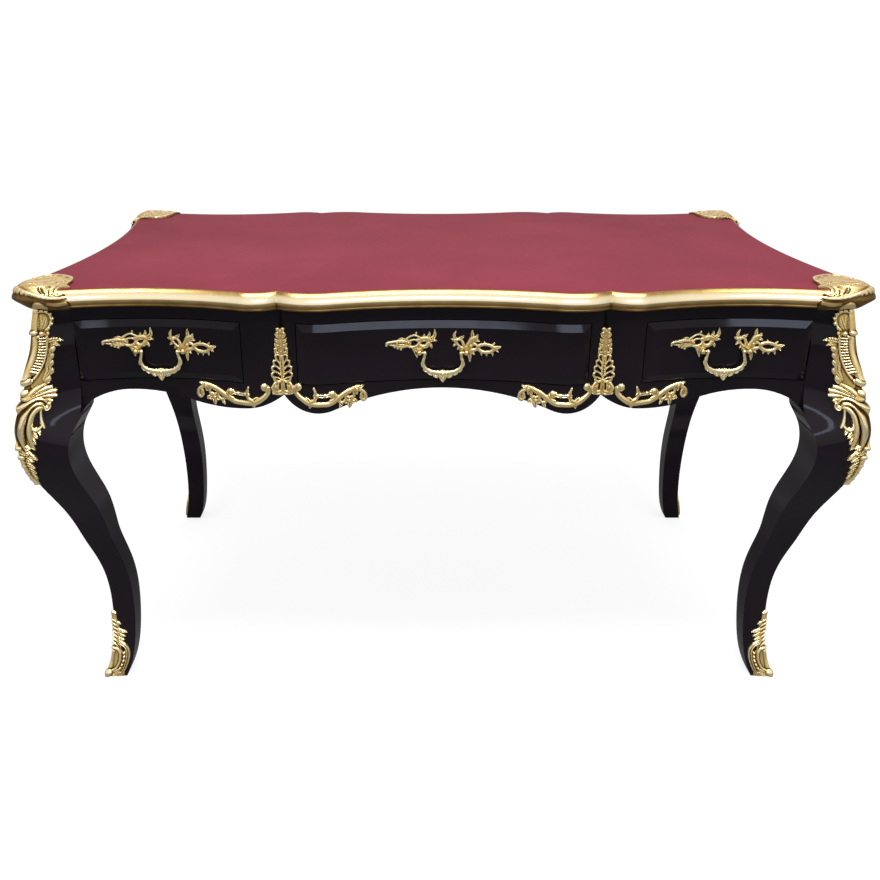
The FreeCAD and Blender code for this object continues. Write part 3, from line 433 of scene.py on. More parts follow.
def carried(name, grid, wear_and_painted_light):
    """A closed length of moulding: quads that close round its columns, and a fan at either end."""
    rows, columns = grid.shape[:2]
    middles = np.stack([grid[0].mean(0), grid[-1].mean(0)])
    points = np.concatenate([grid.reshape(-1, 3), middles])
    shade = np.concatenate([wear_and_painted_light.reshape(-1), [END_SHADING, END_SHADING]])
    index = np.arange(rows * columns).reshape(rows, columns)
    beside = np.roll(index, -1, 1)
    faces = [np.stack([index[:-1], index[1:], beside[1:], beside[:-1]], -1).reshape(-1, 4)]
    for row, centre, turned in ((0, rows * columns, 1), (rows - 1, rows * columns + 1, -1)):
        fan = np.stack([index[row], beside[row], np.full(columns, centre)], -1)
        faces.append(fan[:, ::turned])
    return make_piece(name, points, faces, drawn_gilt, "carcase", shade)


for side_name, along_front, turned in (("front", True, (1, 1, 1)), ("back", True, (1, -1, 1)),
                                       ("right", False, (1, 1, 1)), ("left", False, (-1, 1, 1))):
    run, shade = moulding(along_front)
    piece = carried(f"gilt_edge_{side_name}", run * turned, shade)
    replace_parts(piece, f"edge_moulding_{side_name}")

# Leather: it reaches out over the moulding's inner edge, and its edge is pared to a small round
LEATHER_EDGE = [(13.4, 783.2), (13.0, 784.3), (13.5, 785.0), (15.0, 785.3)]
# Shares at which rings inside the edge are drawn in
INNER_RINGS = (0.75, 0.5, 0.25)


def whole_outline(inset):
    """The top's outline all round, moved in by a distance, joined from its four mirrored quarters."""
    quarter = top_quarter(inset)
    half = np.concatenate([quarter, quarter[-2::-1] * (1, -1)])
    return np.concatenate([half, half[-2:0:-1] * (-1, 1)])


def leather_cover():
    """A closed sheet: rings that follow the outline's edge, rings drawn in to the middle, a flat back."""
    rings = []
    for inset, level in LEATHER_EDGE:
        outline = whole_outline(inset)
        rings.append(np.column_stack([outline, np.full(len(outline), level)]))
    rings += [rings[-1] * (share, share, 1) for share in INNER_RINGS]
    count = len(rings[0])
    middles = np.array([(0.0, 0.0, rings[-1][0, 2]), (0.0, 0.0, rings[0][0, 2])])
    points = np.concatenate(rings + [middles])
    index = np.arange(count * len(rings)).reshape(len(rings), count)
    beside = np.roll(index, -1, 1)
    quads = np.stack([index[:-1], beside[:-1], beside[1:], index[1:]], -1).reshape(-1, 4)
    over, under = len(points) - 2, len(points) - 1
    cap = np.stack([index[-1], beside[-1], np.full(count, over)], -1)
    back = np.stack([beside[0], index[0], np.full(count, under)], -1)
    return make_piece("leather_cover", points, [quads, cap, back], leather, "carcase")


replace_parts(leather_cover(), "leather_inlay")

# Castings: ornament drawn with marks, pressed into a grid and cut along its outline
# Rows that are drawn for each row that a mark gives
ROWS_EACH = 12


def strap(*rows, shape="round", base=0.0):
    """A band drawn along rows of place, height on the sheet, half width and rise."""
    return {"rows": smooth_curve(rows, ROWS_EACH * len(rows)), "shape": shape, "base": base}


def leaf(wide, rise, *path, base=0.0):
    """A pointed leaf along a path.

    Its half width and its rise follow sine arches: the width from a narrow base to the given
    width and down to a tip, the rise from about three quarters up to the given rise and back.
    """
    places = smooth_curve(path, ROWS_EACH * len(path))
    t = np.linspace(0.0, 1.0, len(places))
    half = wide * (0.18 + 0.82 * np.sin(np.pi * np.clip(0.18 + 0.82 * t, 0, 1)) ** 0.8)
    high = rise * (0.55 + 0.45 * np.sin(np.pi * (0.15 + 0.7 * t)))
    return {"rows": np.column_stack([places, half, high]), "shape": "leaf", "base": base}


def bead(u, v, radius, rise, base=0.0):
    """A round knob."""
    return {"rows": np.array([(u, v, radius, rise)], float), "shape": "round", "base": base}


def beads(*rows):
    """Round knobs, each from a row of what a bead takes."""
    return [bead(*row) for row in rows]


def hole(*rows):
    """A pierced slot along rows of place, height and half width."""
    return strap(*[(*row, 0.0) for row in rows], shape="hole")


def groove(*path, wide=0.9, deep=1.4):
    """An engraved line of a given half width and depth."""
    return strap(*[(*place, wide, deep) for place in path], shape="groove")


def volute(u, v, start_radius, end_radius, start_angle, turns, half, rise, base=0.0):
    """A spiral band whose radius falls evenly in ratio while its angle turns evenly."""
    t = np.linspace(0.0, 1.0, 40)
    radius = start_radius * (end_radius / start_radius) ** t
    angle = math.radians(start_angle) + 2 * math.pi * turns * t
    rows = np.column_stack([u + radius * np.cos(angle), v + radius * np.sin(angle), half * (1 - 0.45 * t),
                            rise * (1 - 0.1 * t)])
    return {"rows": rows, "shape": "round", "base": base}


def flower(u, v, radius, petals, rise, turned):
    """Leaves set round a knob."""
    marks = []
    for k in range(petals):
        angle = math.radians(turned) + 2 * math.pi * k / petals
        tip = (u + radius * math.cos(angle), v + radius * math.sin(angle))
        marks.append(leaf(radius * 0.42, rise, (u, v), ((u + tip[0]) / 2, (v + tip[1]) / 2), tip))
    return marks + [bead(u, v, radius * 0.3, rise * 0.6, rise * 0.6)]


def scaled(marks, *shares, about=0.0):
    """The marks with places, heights, half widths and rises taken up by shares, places about one place."""
    fixed = (about * (shares[0] - 1), 0, 0, 0)
    return [{**mark, "rows": mark["rows"] * shares - fixed} for mark in marks]


def mirrored_marks(marks):
    """The marks with a mirrored copy of each across the middle of the sheet."""
    return [copy for mark in marks for copy in (mark, *scaled([mark], -1, 1, 1, 1))]


def section_of(shape, q, along):
    """Rise of a mark across its width: q is 0 on its middle line and 1 at its edge.

    A round band is half a circle, a flute is hollow along its middle, a flat one falls only at
    its edge, and a leaf has a sunk vein and slanting ribs.
    """
    fall = np.sqrt(np.clip(1 - q ** 2, 0, 1))
    if shape == "flute":
        return np.sqrt(np.clip(1 - q ** 6, 0, 1)) * (0.58 + 0.42 * np.sin(np.pi * np.clip(q, 0, 1)) ** 2)
    if shape == "flat":
        return np.clip((1 - q) * 6, 0, 1)
    if shape == "leaf":
        vein = 1 - 0.4 * np.exp(-(q / 0.2) ** 2)
        ribs = 1 - 0.16 * np.sin(np.pi * (7 * along - 1.6 * q)) ** 2
        return fall ** 0.8 * vein * ribs
    return fall


def reach_of(rows, margin):
    """Lowest and highest place and height that rows cover with their half widths and a margin."""
    return ((rows[:, :2] - rows[:, 2:3]).min(0) - margin,
            (rows[:, :2] + rows[:, 2:3]).max(0) + margin)


def pressed(marks, step, mirrored, low_edge):
    """Grids of place, height, outline field and rise for a drawing.

    For each mark a grid point looks for the row at which its distance over the half width
    is least. That ratio gives the section's rise there, and one minus it times the half
    width the distance inside the outline. Marks are joined by taking the larger value.
    With mirrored, the sheet is folded along its middle and both halves take one drawing.
    """
    low, high = reach_of(np.concatenate([mark["rows"] for mark in marks]), 2 * step)
    if mirrored:
        low[0] = -high[0]
    place = np.arange(low[0], high[0] + step, step)
    level = np.arange(low[1], high[1] + step, step)
    if mirrored:
        place = np.linspace(-high[0], high[0], len(place) // 2 * 2 + 1)
    field = np.full((len(place), len(level)), -6.0 * step)
    rise = np.zeros_like(field)
    across = np.abs(place) if mirrored else place
    for mark in marks:
        drawn = mark["rows"]
        near, far = reach_of(drawn, 3 * step)
        i = np.flatnonzero((across > near[0]) & (across < far[0]))
        j = np.flatnonzero((level > near[1]) & (level < far[1]))
        if not len(i) or not len(j):
            continue
        window = np.ix_(i, j)
        aside = across[i][:, None, None] - drawn[:, 0]
        above = level[j][None, :, None] - drawn[:, 1]
        ratio = np.sqrt(aside ** 2 + above ** 2) / drawn[:, 2]
        nearest = ratio.argmin(-1)
        q = np.take_along_axis(ratio, nearest[..., None], -1)[..., 0]
        inside = (1 - q) * drawn[nearest, 2]
        if mark["shape"] == "hole":
            field[window] = np.minimum(field[window], -inside)
            continue
        along = nearest / max(len(drawn) - 1, 1)
        height = drawn[nearest, 3] * section_of(mark["shape"], q, along)
        if mark["shape"] == "groove":
            rise[window] = np.where(q < 1, np.maximum(rise[window] - height, 0.0), rise[window])
            continue
        field[window] = np.maximum(field[window], inside)
        rise[window] = np.where(q < 1, np.maximum(rise[window], mark["base"] + height), rise[window])
    if low_edge is not None:
        field = np.minimum(field, level[None, :] - low_edge)
    return place, level, field, rise


def blurred(values, reach):
    """Mean of each value's neighbours within a square, by running sums along both ways."""
    for axis in (0, 1):
        padding = [(reach + 1, reach) if k == axis else (0, 0) for k in (0, 1)]
        running = np.cumsum(np.pad(values, padding, mode="edge"), axis)
        upper = np.take(running, np.arange(2 * reach + 1, running.shape[axis]), axis)
        lower = np.take(running, np.arange(0, running.shape[axis] - 2 * reach - 1), axis)
        values = (upper - lower) / (2 * reach + 1)
    return values


def cut_to_outline(field):
    """Triangles of a grid cut along the line where the field is zero.

    Returns the triangles, which number the grid's points first and the cut points after
    them, and for each cut point its two grid points and its share of the way between them.
    """
    count = field.size
    index = np.arange(count).reshape(field.shape)
    a, b, c, d = (index[:-1, :-1], index[1:, :-1], index[1:, 1:], index[:-1, 1:])
    whole = np.concatenate([np.stack(three, -1).reshape(-1, 3) for three in ([a, b, c], [a, c, d])])
    value = field.ravel()
    inside = value[whole] > 0
    kept = inside.sum(1)

    def leading(rows, flags):
        """Triangles turned so that the first corner with a flag leads."""
        first = flags.argmax(1)[:, None]
        return np.take_along_axis(rows, (first + np.arange(3)) % 3, 1)

    one = leading(whole[kept == 1], inside[kept == 1])
    two = leading(whole[kept == 2], ~inside[kept == 2])
    pairs = np.concatenate([one[:, [0, 1]], one[:, [0, 2]], two[:, [0, 1]], two[:, [0, 2]]])
    keys = pairs.min(1) * count + pairs.max(1)
    unique, where = np.unique(keys, return_inverse=True)
    ends = np.stack([unique // count, unique % count], 1)
    share = value[ends[:, 0]] / (value[ends[:, 0]] - value[ends[:, 1]])
    cut = count + where
    n, m = len(one), len(two)
    first, second = cut[:n], cut[n:2 * n]
    third, fourth = cut[2 * n:2 * n + m], cut[2 * n + m:]
    triangles = np.concatenate([whole[kept == 3],
                                np.stack([one[:, 0], first, second], 1),
                                np.stack([third, two[:, 1], two[:, 2]], 1),
                                np.stack([third, two[:, 2], fourth], 1)])
    return triangles, ends, share


# Wear and painted shade of a casting: on level ground, for each millimetre that a place stands over its
# surroundings (proud places rubbed bright, hollows given painted shade), at the outline, lost for each
# millimetre in from it, and on the back
LEVEL_WEAR = 0.5
PROUD_WEAR_AND_HOLLOW_SHADE = 0.56
OUTLINE_WEAR = 0.62
OUTLINE_FADE = 0.16
BACK_WEAR = 0.1
# Share of its value that the deepest ground keeps where painted shade darkens the ground
PAINTED_SHADE_SHARE = 0.26
# Share of a grid step within which a field counts as lying outside the outline
EDGE_SHARE = 0.05


def casting(name, marks, place, body, step, rim=1.2, sunk=0.4, mirrored=False, two_sided=False,
            low_edge=None, relief=2.2, painted_shade_below=None, painted_brightening=0.0, material=cast_gilt):
    """A closed casting: the pressed drawing as its front, a back on the ground and walls between.

    place turns sheet coordinates and a rise into points of the desk. The back lies a little
    under the ground, or mirrors the front where the casting is two-sided. The shading value is the rise
    less the mean rise around it, bright where proud and painted shade in hollows, and is never low at
    the outline, which is rubbed bright. Ground that lies lower than a given depth is darkened by painted
    shade, and a painted brightening shifts the whole.
    """
    across, level, field, rise = pressed(marks, step, mirrored, low_edge)
    field = np.where(np.abs(field) < EDGE_SHARE * step, -EDGE_SHARE * step, field)
    triangles, ends, share = cut_to_outline(field)
    u = np.repeat(across, len(level))
    v = np.tile(level, len(across))
    spread = max(1, int(round(relief / step)))
    proud = rise - blurred(np.where(field > 0, rise, 0.0), spread)
    rubbed_edge = OUTLINE_WEAR - OUTLINE_FADE * np.maximum(field, 0.0)
    # Rubbed wear brightens proud places, and painted shade darkens the hollows
    wear_and_painted_light = np.clip(np.maximum(LEVEL_WEAR + PROUD_WEAR_AND_HOLLOW_SHADE * proud, rubbed_edge) + painted_brightening, 0.0, 1.0)
    # Painted shade: ground lying low, as the skirt under a corner shield, is darkened
    if painted_shade_below is not None:
        wear_and_painted_light = wear_and_painted_light * (PAINTED_SHADE_SHARE + (1 - PAINTED_SHADE_SHARE) * np.clip(rise / painted_shade_below, 0.0, 1.0) ** 2)
    wear_and_painted_light = wear_and_painted_light.ravel()
    rise = np.where(field > 0, rise, 0.0).ravel()

    def along(values):
        """Values at the cut points, between those of their grid points."""
        return values[ends[:, 0]] * (1 - share) + values[ends[:, 1]] * share

    u = np.concatenate([u, along(u)])
    v = np.concatenate([v, along(v)])
    rise = np.concatenate([rise, np.zeros(len(ends))])
    wear_and_painted_light = np.concatenate([wear_and_painted_light, along(wear_and_painted_light)])
    used, renumbered = np.unique(triangles, return_inverse=True)
    triangles = renumbered.reshape(-1, 3)
    u, v, rise, wear_and_painted_light = u[used], v[used], rise[used], wear_and_painted_light[used]
    count = len(used)
    front = place(u, v, rise + rim)
    back = place(u, v, -(rise + rim)) if two_sided else place(u, v, np.full(count, -sunk))
    edges = np.concatenate([triangles[:, [0, 1]], triangles[:, [1, 2]], triangles[:, [2, 0]]])
    keys = edges.min(1) * count + edges.max(1)
    unique, first, times = np.unique(keys, return_index=True, return_counts=True)
    rims = edges[first[times == 1]]
    walls = np.stack([rims[:, 1], rims[:, 0], rims[:, 0] + count, rims[:, 1] + count], 1)
    behind = wear_and_painted_light if two_sided else np.full(count, BACK_WEAR)
    return make_piece(name, np.concatenate([front, back]),
                      [triangles, triangles[:, ::-1] + count, walls], material, body,
                      np.concatenate([wear_and_painted_light, behind]))


def on_front(centre, inset, hand, foot):
    """Places a drawing on the front's curve moved in by an inset, right way round or mirrored."""
    line = front_line(inset)

    def place(u, v, h):
        x = centre + hand * u
        return np.stack([x, -(line(x) + h), foot + v], -1)
    return place


# Handles: two pierced leaf plates and a swinging bail
# Widths of the plates' leaves and straps are taken up by this share
FULLER = 1.14
# The plates' backs stand off the drawer's face by this much
PLATE_OFF = 0.2


def fuller(marks):
    """The marks with wider leaves and straps, and holes as they were."""
    return [mark for drawn in marks
            for mark in scaled([drawn], 1, 1, 1 if drawn["shape"] == "hole" else FULLER, 1)]


# The left plate: a long beak, an arched strap over two openings and a tuft of leaves
LEFT_PLATE = fuller([
    strap((-93, 15, 2.2, 2.4), (-80, 15.6, 4.2, 3), (-68, 15, 6.2, 3.2), (-60, 15, 6, 3), shape="leaf"),
    strap((-95.4, 12.4, 2.4, 3), (-95, 15, 2.6, 3.4), (-84, 18, 2.8, 3.6), (-72, 19, 3.4, 3.8),
          (-62, 18, 3, 3.6)),
    strap((-90, 13.4, 1.8, 2.6), (-80, 11, 2.2, 3), (-70, 9, 2.8, 3.2), (-61, 10.4, 2.8, 3.2)),
    *beads((-81.6, 8.6, 2, 2.8), (-76.4, 6.6, 2.2, 2.8), (-71, 5, 2.4, 2.8), (-78, 14.6, 2.6, 2, 2.2)),
    leaf(2.2, 2.4, (-62, 20), (-70, 23.4), (-77, 21.8)),
    strap((-66, 19, 2.4, 3), (-58, 26, 2, 3.4), (-49, 29.4, 2, 3.6), (-41, 26.4, 2.2, 3.4),
          (-36, 22, 2.6, 3.2)),
    strap((-62, 15, 2.2, 3), (-54, 20.4, 1.8, 3), (-46, 21, 1.8, 3), (-39, 19, 2.2, 3)),
    strap((-62, 11, 2.6, 3), (-52, 8, 2.4, 3), (-44, 10.5, 2.6, 3.2), (-40, 15, 2.6, 3.2)),
    leaf(1.8, 2.6, (-47, 28), (-45.4, 31), (-45, 35.4)),
    strap((-41, 20, 4, 3.4), (-34, 22, 5, 4), (-27, 22.5, 4.6, 4), (-22, 20, 4, 3.6)),
    strap((-40, 12, 3.4, 3.2), (-34, 8.6, 3.6, 3.8), (-28, 10, 4, 4), (-24, 15, 4.2, 3.8)),
    leaf(3.2, 4, (-24, 21), (-14.5, 27), (-14, 39.6)), leaf(2.6, 3.4, (-26, 23), (-23.5, 29), (-23, 35)),
    leaf(2.2, 3, (-33, 24), (-32, 28), (-31.5, 31)), leaf(3, 3.4, (-24, 19), (-16, 20), (-10, 19)),
    leaf(3, 3.2, (-25, 14), (-20, 10), (-18.5, 6)), leaf(3, 3.2, (-52, 9), (-47.5, 2), (-43.2, -11.5)),
    strap((-46, 7, 2.4, 2.8), (-41, 3, 3.6, 2.6), (-36, 5, 3.2, 2.8), (-33, 9, 2.6, 3)),
    *beads((-40, 0.6, 6, 1.6), (-32, 19.5, 2.4, 2, 2.6), (-58, 16, 1.8, 1.6, 2)),
    groove((-92, 15), (-78, 15.4), (-66, 15), wide=0.8, deep=1.6), hole((-33.5, 15.4, 2), (-31.4, 16.4, 2)),
])
# The right plate: two upright sprays and a thorny ring for a tail
RIGHT_PLATE = fuller([
    strap((34, 2, 5.2, 2.6), (38, 6, 4.6, 3.4), (44, 8, 4.8, 3.8), (52, 14, 3, 3.4), (58, 9, 4, 3.4)),
    strap((40, 2.5, 3.2, 3), (47, 2.2, 3.6, 3.2), (54, 3.6, 3.2, 3.2), (60, 6, 3, 3.2)),
    strap((36, 5, 3.4, 3.4), (30, 8, 2.2, 3.2), (24, 14, 2.4, 3.4), (20, 20, 3.2, 3.6)),
    strap((36, 6, 3, 3.4), (34.5, 14, 2.4, 3.4), (30.5, 20.5, 2.4, 3.4), (24, 22, 3, 3.6)),
    leaf(2.6, 3.6, (21, 20), (18.8, 28), (22.4, 36.8)), leaf(3, 3.6, (26, 22), (32, 25), (35.6, 28.4)),
    leaf(2.4, 3, (21, 19), (17, 21), (13.6, 22.4)), leaf(2.4, 3, (24, 14), (20, 12), (17.4, 9.2)),
    leaf(2.2, 2.8, (30, 8), (26.5, 6), (24.4, 3)),
    strap((43, 9, 4.6, 3.6), (47, 17, 4.6, 4), (51, 23, 5, 4), (54.5, 25, 3.6, 3.6)),
    leaf(3, 3.8, (49, 24), (49.6, 31), (49.2, 38.4)), leaf(2.8, 3.6, (53, 22), (57, 26), (58.6, 31)),
    leaf(2.6, 3.2, (54, 20), (59, 20), (62, 18.4)), leaf(3.2, 3.4, (46, 3), (45.6, -7), (46.4, -18.4)),
    leaf(2.2, 2.8, (48, 1), (52, -3), (53.6, -5.4)),
    strap((58, 9, 3.2, 3.2), (66, 12.8, 3, 3.2), (74, 13.4, 2.8, 3.2), (82, 11, 3, 3.2), (87, 8, 3.4, 3.4)),
    strap((58, 7, 3.2, 3.2), (65, 1.2, 3.2, 3.2), (74, -0.4, 3, 3.2), (82, 1.4, 3, 3.2), (87, 6, 3.2, 3.4)),
    leaf(3.2, 3.4, (85, 8), (91, 8.6), (98, 10.6)), leaf(1.7, 2.4, (70, 13.6), (70.5, 16.6), (69.6, 19)),
    leaf(1.9, 2.6, (82, 12), (85.4, 14.4), (87, 17)), leaf(2.2, 2.6, (87, 5), (91.4, 3), (93.4, 0.4)),
    leaf(1.8, 2.4, (66, 0), (65.4, -3.4), (66, -6.4)), leaf(1.8, 2.4, (74, -1), (74, -4.6), (74.4, -7.2)),
    leaf(1.9, 2.6, (82, 1), (84, -3), (84.6, -7)),
    *beads((40, 0.6, 6, 1.6), (47, 11, 2.6, 2, 2.8), (24, 20.6, 2.2, 1.8, 2.6)),
    hole((51.6, 8.6, 2), (53.8, 9.2, 2)),
])
# The bail: a looped bar with swelling shoulders, a leafy underside and a pointed drop
BAIL = mirrored_marks([
    strap((43.6, 0, 1.75, 1.75), (31, 0, 1.75, 1.75)), bead(30.6, -0.4, 3.7, 3.7),
    strap((30.8, 0, 2.6, 2.6), (31.6, -8, 2.7, 2.8), (33.6, -17, 3.3, 3.2), (31, -25, 3.4, 3.2),
          (24, -31, 3.2, 3.2), (14, -34, 3.4, 3.4), (5, -35, 3.6, 3.6), (0, -35.2, 3.4, 3.6)),
    leaf(2.4, 2.6, (33, -13), (35.6, -19), (34.6, -25.5)), leaf(3, 2.8, (31, -23), (31, -29), (27.6, -34.6)),
    strap((24, -33, 3.6, 2.2), (14, -37, 4.2, 2.4), (5, -39.4, 5, 2.6), (0, -40.4, 5.6, 2.8)),
    leaf(3.2, 3, (24, -29), (23.6, -35), (19, -39.2)), leaf(3.4, 3.2, (15, -33), (14, -39.4), (9, -44)),
    leaf(3.8, 3.8, (4, -34), (3.4, -41), (0, -51.5)),
    *beads((3.4, -31.6, 1.9, 2.6), (8.4, -31.4, 1.7, 2.4), (6, -36.4, 2, 4.2)),
]) + beads((0, -31, 2, 2.8), (0, -36.6, 2.8, 4.8))


def on_pivot(centre, pivot_y):
    """Places the bail's drawing upright over the line through its two posts."""
    def place(u, v, h):
        return np.stack([centre + u, pivot_y - h, PIVOT_LEVEL + v], -1)
    return place


drawer_face = front_line(OVERHANG - DRAWER_PROUD)
for where, centre in (("left", -HANDLE_PLACE), ("centre", 0.0), ("right", HANDLE_PLACE)):
    plate_place = on_front(centre, OVERHANG - DRAWER_PROUD - PLATE_OFF, 1, PIVOT_LEVEL)
    body = f"drawer_{where}"
    first = casting(f"handle_leaf_left_{where}", LEFT_PLATE, plate_place, body, step=0.55, rim=1.0, sunk=0.0)
    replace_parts(first, f"handle_plates_{where}")
    casting(f"handle_leaf_right_{where}", RIGHT_PLATE, plate_place, body, step=0.55, rim=1.0, sunk=0.0)
    pivot_y = -(round(float(drawer_face(centre))) + PIVOT_OUT)
    # The bail's colour is lifted by a painted brightening, standing in for reflected light
    loop = casting(f"gilt_bail_{where}", BAIL, on_pivot(centre, pivot_y), f"bail_{where}", step=0.5,
                   rim=0.12, two_sided=True, painted_brightening=0.2)
    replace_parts(loop, f"bail_{where}")

# Pilaster mounts over the cusps
# Shares for the places, heights, half widths and rises of their marks, which make them bolder
PILASTER_SHARES = (0.97, 1.0, 1.12, 1.1)
# Height of their feet over the cusp, and how far to either side they bridge its hollow
PILASTER_RAISED = 2.5
PILASTER_BRIDGE = 8.0
# A leafed stem that opens into four pairs of pierced loops over a scrolled base
PILASTER = mirrored_marks(scaled([
    strap((0, 113, 4, 2.6), (0, 95, 4.4, 3), (0, 78, 4.6, 3.2), (0, 66, 4.2, 3.4)), bead(4.6, 117, 3.6, 3.4),
    bead(5.4, 110, 3, 2.8), leaf(2.6, 3, (2, 102), (6, 105), (8.8, 109.5)),
    leaf(2.8, 3, (2, 94), (6.4, 96), (9.6, 101)), leaf(3, 3.2, (2, 86), (7, 88), (10.4, 93)),
    bead(9, 82.6, 3.2, 3.2), leaf(3.2, 3.2, (2, 74), (7.4, 75), (11, 81)),
    strap((1.4, 54, 1.8, 3), (4.4, 58, 1.6, 3), (9.2, 66, 1.8, 3.2), (9.6, 71, 2.2, 3.2), (6, 72.6, 2, 3),
          (2, 70, 2, 3)),
    strap((2, 45, 1.8, 3), (7, 50, 1.6, 3), (13.6, 58, 1.8, 3.2), (13.2, 62, 2.2, 3.2), (8.6, 62.4, 1.8, 3)),
    strap((2, 36, 1.8, 3), (8, 41, 1.6, 3), (16.4, 47, 1.9, 3.2), (16.2, 51.6, 2.2, 3.2), (11, 53, 1.8, 3)),
    strap((2, 28, 1.8, 3), (8, 31.6, 1.6, 3), (16.2, 34.6, 1.9, 3.2), (17.4, 39.6, 2.2, 3.2),
          (12.4, 43, 1.8, 3)),
    strap((2, 25, 2, 3), (8, 25.4, 2, 3), (13.6, 28.6, 2.2, 3.2), (14.4, 33, 2, 3)),
    strap((5, 24, 2.4, 3.2), (11.6, 23, 3, 3.6), (15.4, 16, 3.4, 3.8), (14.8, 9, 3.4, 3.6),
          (9.6, 5.4, 3, 3.2), (4, 7, 2.6, 3)),
    bead(11.6, 15.6, 4.2, 4.4), leaf(2.8, 3.4, (8.6, 22), (9.6, 14), (8.2, 6.6)),
    leaf(2.6, 3.6, (15, 20), (17.4, 14), (15.6, 8)),
    strap((1.4, 24, 2, 3.4), (1.8, 14, 2.2, 3.6), (1.4, 5, 2.4, 3.4)),
    strap((0, 3.2, 2.4, 3.2), (7.4, 1.8, 2.1, 3), (14.4, 4.2, 2.3, 3)),
    leaf(2, 2.6, (13, 5.6), (16.4, 4.6), (18.4, 7)),
], *PILASTER_SHARES)) + [
    leaf(4.2, 4.4, (0, 66), (0, 46), (0, 27)),
    *beads((0, 69.5, 4.2, 4.8), (0, 78, 2.8, 4.4), (0, 87, 2.6, 4.2), (0, 96, 2.5, 4), (0, 105, 2.4, 3.8),
           (0, 112, 2.2, 3.4), (0, 27, 3.2, 4.6), (0, 20, 2.4, 4), (0, 5, 2.6, 4.4)),
]
wood_line = front_line(OVERHANG)


def on_cusp(hand):
    """Places a drawing on the front at a cusp, with the front of it bridging the cusp's hollow."""
    def place(u, v, h):
        aside = np.maximum(np.abs(u), PILASTER_BRIDGE) * np.where(u < 0, -1.0, 1.0)
        line = wood_line(CUSP_PLACE + np.where(h > 0, aside, u))
        return np.stack([hand * (CUSP_PLACE + u), -(line + h), CUSP_LEVEL + PILASTER_RAISED + v], -1)
    return place


for side_name, hand in SIDES:
    piece = casting(f"gilt_pilaster_{side_name}", PILASTER, on_cusp(hand), "carcase", step=0.55)
    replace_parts(piece, f"pilaster_mount_{side_name}")

# Scroll mounts along the apron, drawn outwards from the cusp
# Shares for the places, heights, half widths and rises of their marks; places stretch past the rolled end
SCROLL_SHARES = (1.055, 1.0, 1.3, 1.1)
ROLLED_END = 25.0
OUTER_RAISED = 0.5
# The inner scrolls are a little shorter, lie nearer the cusp and tilt with the apron
INNER_SHARE = 0.95
INNER_SHIFT = 2.0
INNER_RAISED = 1.5
INNER_TILT = 0.014
# An S scroll: a volute by the pilaster, a framed opening, a hanging flower and a curled end
SCROLL = scaled([
    # Rolled end by the pilaster and the long band
    bead(30.6, 19.4, 5.2, 4.8), volute(30.2, 18.6, 6, 3, 200, 0.55, 2.6, 3.8),
    strap((24.6, 17, 3.2, 3.8), (25, 9, 3.6, 3.8), (29.6, 2.4, 3.9, 3.9), (37, -3.6, 4.1, 4),
          (46, -9, 4.2, 4), (56, -11.4, 4, 4), (70, -11.6, 3.9, 4), (82, -10.6, 4, 4), (92, -5.4, 4.1, 4),
          (101, 1.4, 4, 4), (112, 9, 3.9, 4), (123, 13.6, 3.8, 4), (131, 15.4, 3.6, 3.8)),
    leaf(3, 3.6, (48, -8), (49.4, -12), (48.6, -18.6)), leaf(3.2, 3.8, (52, -10), (46, -3), (42, 1)),
    # Framed opening with its bar, spike and ball
    strap((50, -7, 3, 3.8), (57, -3.6, 3, 3.8), (60, 2.4, 2.8, 3.8), (59.4, 10, 2.6, 3.6),
          (57, 17.6, 1.9, 3.2)),
    strap((58, 4.4, 2.9, 3.8), (66, 4.2, 2.9, 3.8), (76, 4.4, 2.9, 3.8), (84, 5.4, 2.9, 3.8), shape="flute"),
    *beads((63.4, 4.4, 3.3, 4.4), (75.6, 4.4, 3.3, 4.4), (88.6, 6.8, 5, 4.8)),
    volute(88.8, 5.8, 6, 3, 150, 0.6, 2.4, 3.4),
    strap((94, 3.6, 2.8, 3.6), (91, -2.2, 2.8, 3.6), (84, -5.6, 2.4, 3.4)),
    # Leaf cluster, medallion and hanging flower at the far end
    leaf(4.4, 4.4, (118, 12), (127, 14.5), (136.6, 19)), leaf(3, 3.8, (126, 15), (133, 16), (141, 20)),
    bead(129.6, 13.4, 4.2, 4.8), leaf(3.4, 3.6, (123, 15), (128, 9), (129.4, 4)),
    strap((132, 13, 3, 3.8), (139, 9.4, 3, 3.8), (143.6, 3.4, 2.8, 3.8), (143.4, -3.4, 2.8, 3.8),
          (140, -6.6, 2.8, 3.8), (136.6, -3, 2.6, 3.6), (136.4, 3.4, 2.4, 3.6), (138.6, 8, 2.4, 3.6)),
    leaf(2.6, 3, (140, 6), (140, 0), (140, -5), base=0.4),
    strap((111.4, 8, 2.6, 3.4), (109.8, 1.6, 2.4, 3.4), (111, -3.4, 2.8, 3.6)),
    strap((123.6, 11, 2.6, 3.4), (124, 3, 2.4, 3.4), (121, -3, 2.8, 3.6)),
    *flower(116.6, -6.4, 9.6, 5, 3.8, 54), leaf(3.4, 3.8, (116.4, -9), (116.6, -14), (116, -19.6)),
    strap((110, -4, 2.4, 3.4), (104.6, -9, 2.4, 3.4), (100, -8, 2.4, 3.4), (98, -2, 2.6, 3.4)),
    leaf(2.8, 3.4, (104, -9), (101.6, -13.4), (98.8, -18.2)),
    leaf(2.6, 3.4, (122, -5), (127, -7.4), (128.6, -11)),
], *SCROLL_SHARES, about=ROLLED_END)


def on_inner(hand):
    """Places a scroll on the front from a cusp towards the middle."""
    def place(u, v, h):
        x = hand * (CUSP_PLACE - INNER_SHARE * u + INNER_SHIFT)
        return np.stack([x, -(wood_line(x) + h), CUSP_LEVEL + INNER_RAISED + v - INNER_TILT * u], -1)
    return place


